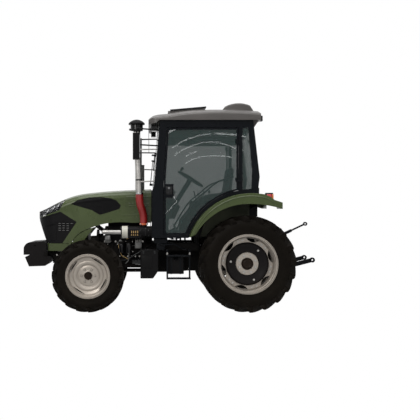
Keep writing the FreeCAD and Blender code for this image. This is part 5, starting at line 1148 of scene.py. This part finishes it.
PANELS = (
    (-0.480, 0.080, [(-0.175, 1.045), (-0.175, 1.265), (-0.230, 1.330), (-0.400, 1.530), (-0.540, 1.640),
                     (-0.700, 1.680), (-1.150, 1.680), (-1.150, 1.045)]),  # right wheel arch
    (-0.420, 0.060, [(0.130, 1.285), (0.130, 1.700), (-0.020, 1.700), (-0.120, 1.560), (-0.190, 1.470),
                     (-0.105, 1.285)]),  # right front corner
    (-0.420, 0.060, [(0.130, 1.285), (0.000, 1.285), (-0.005, 1.098), (-0.175, 1.098), (-0.175, 1.045),
                     (0.130, 1.045)]),  # footwell
    (0.500, 0.060, [(-0.440, 1.045), (-0.475, 1.180), (-0.530, 1.290), (-0.615, 1.390), (-0.720, 1.465),
                    (-0.830, 1.505), (-0.960, 1.520), (-1.140, 1.520), (-1.140, 1.045)]),  # left wheel arch
    (0.330, 0.060, [(0.143, 1.300), (0.143, 1.560), (0.060, 1.560), (-0.010, 1.450), (-0.030, 1.300)]))  # left front
bm = bmesh.new()
for y, thick, outline in PANELS:
    add_plate(bm, outline, y, thick)
piece("cab_panels", bm, lining, CHASSIS)
print("lining and", len(PANELS), "panels done")

# %% [markdown]
# ## The steering wheel
#
# The steering wheel is a ring with three spokes and a knob. A tube could be laid along a circle of points,
# but a small circle spun about the tilted column makes the same ring in one step, and closed.

# %% Steering wheel
WHEEL_RADIUS = 0.205
hub = Vector((-0.330, 0.0, 1.890))
tilt = (hub - Vector((0.020, 0, 1.330))).normalized()
turn = tilt.to_track_quat("Z", "Y").to_matrix()
bm = bmesh.new()
upright = Matrix.Translation(hub + turn @ Vector((WHEEL_RADIUS, 0, 0))) @ (
    turn @ Matrix.Rotation(math.radians(90), 3, "X")).to_4x4()
made = bmesh.ops.create_circle(bm, segments=16, radius=0.0165, matrix=upright)["verts"]
bmesh.ops.spin(bm, geom=made + list(bm.edges), cent=hub, axis=tilt, angle=2 * math.pi, steps=72, use_merge=True)
for k in range(3):
    a = math.radians(90 + 120 * k)
    spoke = turn @ Vector((math.cos(a), math.sin(a), 0))
    add_rod(bm, hub + spoke * 0.03 - tilt * 0.010, hub + spoke * 0.198, 0.014, 14, 0.010)
add_rod(bm, hub - tilt * 0.030, hub + tilt * 0.016, 0.048, 32, 0.040)
knob = hub + turn @ Vector((0.06, 0.190, 0.0))
add_rod(bm, knob, knob + tilt * 0.050, 0.010, 12)
add_rod(bm, knob + tilt * 0.040, knob + tilt * 0.086, 0.020, 20, 0.023)
piece("steering_rim", bm, plastic, CHASSIS, ["steering_wheel"])
print("steering wheel done")

# %% [markdown]
# ## The controls
#
# Three round gauges stand on the dash, levers with knobs beside the seat, and pedals on the floor. They are
# seen through tinted glass only, so bars and boxes of the usual sizes are enough.

# %% Controls
bm = bmesh.new()
for y, z, r in ((-0.085, 1.690, 0.032), (0.0, 1.700, 0.044), (0.085, 1.690, 0.032)):
    p = Vector((-0.058, y, z))
    add_rod(bm, p, p + Vector((-0.022, 0, 0.020)), r, 28, mat=0)
    add_rod(bm, p + Vector((-0.018, 0, 0.0165)), p + Vector((-0.0235, 0, 0.0215)), r * 0.86, 28, mat=1)
LEVERS = (((-0.600, -0.360, 1.56), (-0.640, -0.350, 1.700), 0.007),
          ((-0.540, -0.390, 1.56), (-0.560, -0.395, 1.690), 0.007),
          ((-0.480, -0.340, 1.56), (-0.470, -0.330, 1.660), 0.006),
          ((-0.330, 0.110, 1.05), (-0.400, 0.120, 1.42), 0.009))
for start, end, r in LEVERS:
    add_rod(bm, start, end, r, 12, mat=0)
    add_rod(bm, Vector(end) - Vector((0, 0, 0.014)), Vector(end) + Vector((0, 0, 0.028)), 0.018, 16, 0.014, mat=2)
PEDAL_LEAN = Matrix.Rotation(0.5, 3, "Y")
for y in (-0.150, -0.240, 0.170):
    add_box(bm, (-0.100, y - 0.035, 1.120), (-0.085, y + 0.035, 1.220), 0.004, PEDAL_LEAN, mat=0)
    add_rod(bm, (-0.102, y, 1.152), (0.060, y, 1.038), 0.009, 12, mat=0)
piece("controls", bm, gloss_black, CHASSIS, mats=[gloss_black, slot_grey, plastic])
print("controls done")

# %% [markdown]
# ## The driver's seat
#
# The cushion and the back start as rounded blocks a little smaller than the room for them. Each is
# remeshed finely, puffed up by a short cloth simulation with air pressure, held within about two
# centimetres of its start, and then gets its sewn channels. A bellows and a pan carry them.

# %% Seat
def rounded_block(outline, half, bevel):
    """A block of (x, z) corners across the machine, with all its edges rounded."""
    bm = bmesh.new()
    add_plate(bm, outline, half, half * 2)
    bmesh.ops.recalc_face_normals(bm, faces=bm.faces)
    bmesh.ops.bevel(bm, geom=list(bm.edges), offset=bevel, affect="EDGES", segments=3, profile=0.6, material=-1)
    return bm


def stuffed(bm, voxel, cap, low_z, channels):
    """Puffs a closed form up like a foam cushion and presses its channels in."""
    start = bpy.data.meshes.new("pad_start")
    bm.to_mesh(start)
    bm.free()
    form = bpy.data.objects.new("pad_form", start)
    scene.collection.objects.link(form)
    remesh = form.modifiers.new("remesh", "REMESH")
    remesh.mode = "VOXEL"
    remesh.voxel_size = voxel
    graph = bpy.context.evaluated_depsgraph_get()
    fine = bpy.data.meshes.new_from_object(form.evaluated_get(graph))
    form.modifiers.clear()
    form.data = fine
    rest = [v.co.copy() for v in fine.vertices]
    sim = form.modifiers.new("puff", "CLOTH")
    sim.settings.use_pressure = True
    sim.settings.uniform_pressure_force = 4.0
    sim.settings.effector_weights.gravity = 0.0
    for number in range(1, 21):
        scene.frame_set(number)
    graph = bpy.context.evaluated_depsgraph_get()
    puffed = [v.co.copy() for v in form.evaluated_get(graph).data.vertices]
    form.modifiers.clear()
    scene.frame_set(1)
    for v, old, new in zip(fine.vertices, rest, puffed):
        step = new - old
        v.co = old + (step if step.length < cap else step.normalized() * cap)
        v.co.z = max(v.co.z, low_z)
    out_bm = bmesh.new()
    out_bm.from_mesh(fine)
    bpy.data.objects.remove(form)
    out_bm.normal_update()
    for v in out_bm.verts:
        if v.normal.z > 0.3 or v.normal.x > 0.5:
            v.co -= v.normal * sum(0.007 * max(0.0, 1 - ((v.co.y - y) / 0.011) ** 2) for y in channels)
    return out_bm


CHANNELS = (-0.095, 0.095)
cushion = [(-0.875, 1.412), (-0.440, 1.412), (-0.428, 1.450), (-0.445, 1.492), (-0.560, 1.488), (-0.875, 1.496)]
backrest = [(-0.888, 1.500), (-0.812, 1.500), (-0.822, 1.660), (-0.858, 1.880), (-0.888, 2.068), (-0.948, 2.068)]
forms = [stuffed(rounded_block(outline, half, bevel), 0.010, cap, low_z, CHANNELS)
         for outline, half, bevel, cap, low_z in ((cushion, 0.238, 0.022, 0.022, 1.402),
                                                  (backrest, 0.226, 0.024, 0.018, 1.480))]
for name, form in zip(("seat_cushion", "seat_backrest"), forms):
    pad = piece(name, form, cloth, CHASSIS, ["seat"], crisp=60.0)
    more = pad.modifiers.new("smooth", "SUBSURF")
    more.levels = 1
    more.render_levels = 1
bm = bmesh.new()
add_box(bm, (-0.700, -0.160, 1.062), (-0.470, 0.160, 1.180), 0.020, segments=3)
for k in range(6):
    narrow, z = 0.004 * k, 1.176 + 0.030 * k
    add_box(bm, (-0.690 + narrow, -0.150 + narrow, z), (-0.480 - narrow, 0.150 - narrow, z + 0.0315), 0.011,
            segments=3)
add_box(bm, (-0.840, -0.215, 1.362), (-0.460, 0.215, 1.404), 0.014, segments=3)
for y in (-0.120, 0.120):
    add_rod(bm, (-0.830, y, 1.385), (-0.905, y, 1.640), 0.014, 14)
add_rod(bm, (-0.520, 0.214, 1.384), (-0.400, 0.226, 1.390), 0.008, 12)
add_rod(bm, (-0.425, 0.224, 1.389), (-0.385, 0.227, 1.391), 0.013, 14)
piece("seat_base", bm, plastic, CHASSIS, ["seat"])
print("seat done")

# %% [markdown]
# ## Between hood and cab
#
# A rubber seal closes the gap between hood and cab. It follows the hood's side, so its section is swept
# upwards from point to point. Rubber mounts on brackets carry the cab on the frame.

# %% Seal and mounts
SEAL = ((0.2585, 0.004), (0.2625, 0.000), (0.2625, -0.016), (0.1620, -0.016), (0.1620, 0.004))
bm = bmesh.new()
rows = []
for k in range(21):
    z = 1.196 + 0.026 * k
    spot = hood_side(0.275, z)
    if spot:
        rows.append([(x, spot[0].y + out_by, z) for x, out_by in SEAL])
add_sweep(bm, rows)
pair("hood_seal", bm, plastic, BOTH)

bm = bmesh.new()
add_box(bm, (0.035, 0.440, 0.948), (0.225, 0.585, 1.034), 0.010)
add_box(bm, (0.070, 0.420, 0.856), (0.190, 0.560, 0.952), 0.012)
add_turned(bm, [(0, 0.0), (0, 0.052), (0.012, 0.056), (0.030, 0.050), (0.044, 0.056), (0.056, 0.052), (0.056, 0.0)],
           (0.120, 0.480, 0.972), axis="Z", steps=32)
add_rod(bm, (0.012, 0.560, 1.030), (-0.060, 0.560, 1.012), 0.008, 10)
add_rod(bm, (-0.060, 0.560, 1.012), (-0.150, 0.560, 1.026), 0.006, 10)
for x in (-0.035, -0.095, -0.150, -0.215):
    add_box(bm, (x - 0.010, 0.520, 1.004 + 0.006 * math.sin(x * 90)), (x + 0.012, 0.600, 1.034), 0.004)
add_tube(bm, bent([(0.200, 0.560, 0.960), (0.100, 0.600, 0.930), (-0.060, 0.590, 0.945), (-0.160, 0.560, 0.880),
                   (-0.240, 0.500, 0.860)], 0.03), 0.010, 12)
pair("cab_mounts", bm, frame_black, BOTH)
print("seal and mounts done")

# %% [markdown]
# ## Wipers
#
# The windscreen and the rear window each get a wiper. Its pivot, the arm's tip and the blade's ends are
# found by looking at the glass from outside, so that the blade lies on the pane.

# %% Wipers
pane_tree = tree_of("cab_glass")
WIPERS = ((1.2, (-1, 0, 0), (0.060, 1.800), (0.000, 2.150), (-0.250, 2.030), (0.260, 2.250)),
          (-2.2, (1, 0, 0), (0.000, 2.450), (0.090, 2.200), (0.030, 2.060), (0.150, 2.330)))
bm = bmesh.new()
for side_x, way, *places in WIPERS:
    w = Vector(way)
    hits = [pane_tree.ray_cast(Vector((side_x, y, z)), w)[0] for y, z in places]
    if not all(hits):
        continue
    pivot, tip, low, high = (hit - w * lift for hit, lift in zip(hits, (0.030, 0.026, 0.010, 0.010)))
    add_rod(bm, pivot + w * 0.030, pivot - w * 0.014, 0.017, 20)
    add_rod(bm, pivot, tip, 0.007, 10, 0.005)
    add_rod(bm, tip, tip + w * 0.014, 0.008, 10)
    add_rod(bm, low, high, 0.006, 10)
    add_rod(bm, low + w * 0.005, high + w * 0.005, 0.0035, 8)
piece("wipers", bm, frame_black, CHASSIS)
print("wipers done")

# %% [markdown]
# ## Mirrors
#
# The mirrors get two panes of glass on the side that faces the driver, a large one and a wide-angle one,
# and clamps and hinges where their arms meet the cab.

# %% Mirrors
bm = bmesh.new()
add_box(bm, (0.4262, 0.712, 2.220), (0.4290, 0.868, 2.470), 0.010)
add_box(bm, (0.4262, 0.716, 2.146), (0.4290, 0.864, 2.208), 0.010)
pair("mirror_glass", bm, chrome, BOTH)
bm = bmesh.new()
add_rod(bm, (0.256, 0.600, 2.200), (0.196, 0.612, 2.200), 0.012, 12)
add_rod(bm, (0.214, 0.606, 2.172), (0.204, 0.606, 2.214), 0.014, 12)
add_rod(bm, (0.300, 0.704, 2.556), (0.298, 0.680, 2.332), 0.0035, 8)
for z in (2.332, 2.558):
    add_rod(bm, (0.144, 0.634, z - 0.030), (0.144, 0.634, z + 0.020), 0.013, 14)
    add_box(bm, (0.096, 0.615, z - 0.024), (0.136, 0.652, z + 0.016), 0.004)
pair("mirror_brackets", bm, frame_black, BOTH)
print("mirrors done")

# %% [markdown]
# ## Around the engine
#
# The engine is a plain block in the solids. On each side it gets what hangs on such an engine: a rail of
# bolts along the sump and the head, filters, a starter, a pump with its injector pipes, and hoses. The
# two sides share most of it, so one loop makes both, and each side then gets its own parts.

# %% Engine dressing
BLOCK_SIDE = 0.185


def add_bolts(bm, places, along, across, depth):
    for place in places:
        add_nut(bm, place, along, across, depth, mat=1)


def add_filters(bm):
    """Two filters on their heads, the pump with its pipes, and the loose wires of the left side."""
    for x, r, z0, z1 in ((0.590, 0.046, 0.790, 0.940), (0.700, 0.040, 0.800, 0.930)):
        tall = z1 - z0
        add_turned(bm, [(0, 0.0), (0, r * 0.86), (0.008, r), (tall - 0.012, r), (tall - 0.004, r * 0.94),
                        (tall, r * 0.70), (tall + 0.016, r * 0.66), (tall + 0.016, 0.0)], (x, 0.262, z0), axis="Z",
                   steps=36, mat=2)
        add_box(bm, (x - 0.045, 0.180, z1 + 0.004), (x + 0.045, 0.300, z1 + 0.036), 0.008)
    add_box(bm, (0.400, 0.184, 0.860), (0.505, 0.262, 0.960), 0.010, segments=3, mat=4)
    for k in range(4):
        x, injector = 0.415 + 0.025 * k, 0.420 + 0.150 * k
        add_rod(bm, (x, 0.225, 0.958), (x, 0.225, 0.985), 0.008, 10, mat=1)
        add_tube(bm, bent([(x, 0.225, 0.985), (x, 0.240, 1.050 + 0.006 * k), (injector, 0.205, 1.080),
                           (injector, 0.120, 1.150)], 0.030), 0.0035, 8, mat=3)
    add_tube(bm, bent([(0.505, 0.225, 0.900), (0.560, 0.270, 0.900), (0.594, 0.300, 0.780), (0.594, 0.300, 0.690),
                       (0.640, 0.240, 0.640)], 0.03), 0.006, 10, mat=3)
    add_tube(bm, bent([(0.732, 0.235, 0.955), (0.745, 0.262, 0.880), (0.700, 0.270, 0.760), (0.594, 0.268, 0.700)],
                      0.03), 0.0045, 10, mat=5)
    add_box(bm, (0.690, 0.240, 0.915), (0.748, 0.252, 0.985), 0.003, Matrix.Rotation(-0.75, 3, "Y"), mat=3)
    add_box(bm, (0.592, 0.184, 0.996), (0.634, 0.200, 1.030), 0.003, Matrix.Rotation(0.3, 3, "Y"), mat=5)


def add_manifold(bm):
    """The exhaust manifold of the right side: four branches and the pipe that gathers them."""
    for k in range(4):
        x = 0.430 + 0.145 * k
        add_tube(bm, bent([(x, -0.186, 1.100), (x, -0.230, 1.100), (x - 0.010, -0.262, 1.140),
                           (x - 0.020, -0.270, 1.150)], 0.02), 0.024, 14, mat=4)
    add_tube(bm, [(0.400, -0.272, 1.152), (0.900, -0.272, 1.152)], 0.032, 18, mat=4)


for sign, side, add_own in ((1, "left", add_filters), (-1, "right", add_manifold)):
    bm = bmesh.new()
    out = Vector((0, sign, 0))
    face = BLOCK_SIDE * sign
    inward = Vector((0, 0.004, 0))
    for x0, x1, z0, z1 in ((0.350, 0.985, 0.730, 0.752), (0.360, 0.975, 1.026, 1.044)):
        add_box(bm, Vector((x0, face, z0)) - inward, Vector((x1, face, z1)) + out * 0.010, 0.003)
    add_bolts(bm, [(0.380 + 0.058 * k, face + sign * 0.008, 0.741) for k in range(11)], out, 0.019, 0.009)
    add_bolts(bm, [(0.390 + 0.080 * k, face, 0.960) for k in range(8)], out, 0.022, 0.010)
    for k in range(4):
        x = 0.430 + 0.145 * k
        add_box(bm, Vector((x - 0.045, face, 0.800)) - inward, Vector((x + 0.045, face, 0.930)) + out * 0.012, 0.010,
                segments=3)
        add_bolts(bm, [(x - 0.038, face + sign * 0.010, 0.812), (x + 0.038, face + sign * 0.010, 0.918)], out,
                  0.015, 0.007)
    add_own(bm)
    add_turned(bm, [(0, 0.0), (0, 0.050), (0.110, 0.050), (0.118, 0.044), (0.150, 0.044), (0.150, 0.030),
                    (0.190, 0.030), (0.190, 0.0)], (0.350, face + 0.046 * sign, 0.668), axis="X", steps=36, mat=2)
    alternator = Vector((0.860, face + 0.075 * sign, 1.000))
    add_turned(bm, [(0, 0.0), (0, 0.052), (0.010, 0.060), (0.070, 0.060), (0.080, 0.052), (0.080, 0.0)],
               alternator, axis="X", steps=36, mat=3)
    for a in circle(16):
        p = alternator + Vector((0.081, 0.044 * math.cos(a), 0.044 * math.sin(a)))
        add_box(bm, p - Vector((0.001, 0.004, 0.004)), p + Vector((0.0015, 0.004, 0.004)), 0.001, segments=1, mat=2)
    add_tube(bm, bent([(0.985, 0.080 * sign, 1.120), (1.070, 0.120 * sign, 1.180), (1.150, 0.150 * sign, 1.330),
                       (1.196, 0.150 * sign, 1.400)], 0.05), 0.024, 16, mat=2)
    add_tube(bm, bent([(0.250, 0.190 * sign, 0.890), (0.330, 0.262 * sign, 0.870), (0.480, 0.250 * sign, 0.780),
                       (0.640, 0.236 * sign, 0.690), (0.800, 0.180 * sign, 0.690)], 0.06), 0.011, 12, mat=2)
    add_bolts(bm, [(x, 0.151 * sign, z) for x, z in ((1.120, 0.690), (1.180, 0.690), (1.120, 0.760), (1.180, 0.760),
                                                     (1.400, 0.700), (1.460, 0.760), (1.600, 0.700),
                                                     (1.660, 0.760))], out, 0.022, 0.010)
    add_bolts(bm, [(0.260 + 0.196 * math.cos(a), sign * (0.206 * abs(math.cos(a)) + 0.004), 0.790 + 0.18 * math.sin(a))
                   for a in (-0.9, -0.5, 0.5, 0.9)], out, 0.018, 0.008)
    piece("engine_dress_" + side, bm, casting, CHASSIS,
          mats=[casting, zinc, gloss_black, slot_grey, slot_grey, brass])
print("engine dressed")

# %% [markdown]
# ## Radiator and fan
#
# The radiator's core is a row of thin upright fins in front of its plain block, and behind it turn the
# seven blades of the fan.

# %% Radiator and fan
FIN_STEP = 0.0105
bm = bmesh.new()
for a in circle(7):
    lean = Matrix.Rotation(a, 3, "X")
    p = Vector((1.060, 0, 0.980)) + lean @ Vector((0, 0, 0.088))
    add_box(bm, p - Vector((0.004, 0.028, 0.056)), p + Vector((0.004, 0.028, 0.056)), 0.002, lean)
for k in range(44):
    y = -0.226 + FIN_STEP * k
    add_box(bm, (1.2785, y - 0.0016, 0.830), (1.2830, y + 0.0016, 1.400), 0.0008, segments=1)
piece("radiator_fins", bm, slot_grey, CHASSIS)
print("radiator done")

# %% [markdown]
# ## Side boxes, tank and steps
#
# The battery box has a lid, ribs on its ends, two catches and a plain panel. Two straps hold the tank, which
# has a filler cap. The steps are covered with grip bars and bolted on.

# %% Boxes, tank and steps
bm = bmesh.new()
add_box(bm, (0.163, 0.328, 0.836), (0.4205, 0.6030, 0.8600), 0.006, segments=3)
for z in (0.640, 0.700, 0.760):
    add_box(bm, (0.163, 0.345, z), (0.1665, 0.590, z + 0.020), 0.0015)
    add_box(bm, (0.4165, 0.345, z), (0.4205, 0.590, z + 0.020), 0.0015)
for x in (0.215, 0.375):
    add_box(bm, (x - 0.014, 0.599, 0.800), (x + 0.014, 0.606, 0.848), 0.003, mat=1)
    add_rod(bm, (x, 0.600, 0.812), (x, 0.609, 0.812), 0.006, 12, mat=1)
add_box(bm, (0.250, 0.5985, 0.600), (0.400, 0.6025, 0.780), 0.004)
pair("box_lids", bm, plastic, BOTH, mats=[plastic, gloss_black])
bm = bmesh.new()
for x in (-0.150, -0.020):
    add_box(bm, (x - 0.016, 0.3275, 0.5115), (x + 0.016, 0.5625, 0.7865), 0.008)
add_rod(bm, (-0.085, 0.545, 0.740), (-0.085, 0.572, 0.752), 0.034, 32, mat=1)
add_rod(bm, (-0.085, 0.570, 0.751), (-0.085, 0.584, 0.757), 0.039, 20, mat=1)
pair("tank_straps", bm, frame_black, BOTH, mats=[frame_black, gloss_black])
bm = bmesh.new()
for k in range(13):
    x = -0.276 + 0.0255 * k
    add_box(bm, (x - 0.004, 0.606, 0.471), (x + 0.004, 0.694, 0.4765), 0.0015, segments=1)
    add_box(bm, (x - 0.004, 0.606, 0.789), (x + 0.004, 0.664, 0.7945), 0.0015, segments=1)
for x in (-0.278, 0.038):
    for z in (0.800, 0.815):
        add_nut(bm, (x, 0.624, z), (0, 1, 0), 0.018, 0.008, mat=1)
pair("step_grips", bm, frame_black, BOTH, mats=[frame_black, zinc])
print("boxes and steps done")

# %% [markdown]
# ## Bolts of the axles and the gearbox
#
# Caps with four bolts close each kingpin, above and below, and turn with the knuckle. Rows of bolts hold
# the gearbox halves together, and a ring of ten holds each rear axle's trumpet.

# %% Axle and gearbox bolts
KINGPIN = (1.147, 0.560)
bm = bmesh.new()
for z, way in ((0.655, 1), (0.352, -1)):
    for k in range(4):
        a = math.radians(45 + 90 * k)
        add_nut(bm, (KINGPIN[0] + 0.032 * math.cos(a), KINGPIN[1] + 0.032 * math.sin(a), z), (0, 0, way), 0.016, 0.008)
pair("kingpin_bolts", bm, zinc, ("knuckle_left", "knuckle_right"))
bm = bmesh.new()
for x, z in ((-0.820, 0.600), (-0.820, 0.720), (-0.820, 0.840), (-0.700, 0.560), (-0.700, 0.860), (-0.500, 0.560),
             (-0.500, 0.860), (-0.300, 0.560), (-0.300, 0.860), (-0.100, 0.580), (-0.100, 0.840)):
    add_nut(bm, (x, 0.180, z), (0, 1, 0), 0.026, 0.012)
for a in circle(10):
    add_nut(bm, around((-1.075, 0.300, 0.675), 0.125, a), (0, 1, 0), 0.022, 0.012)
pair("case_bolts", bm, zinc, BOTH)
print("bolts done")
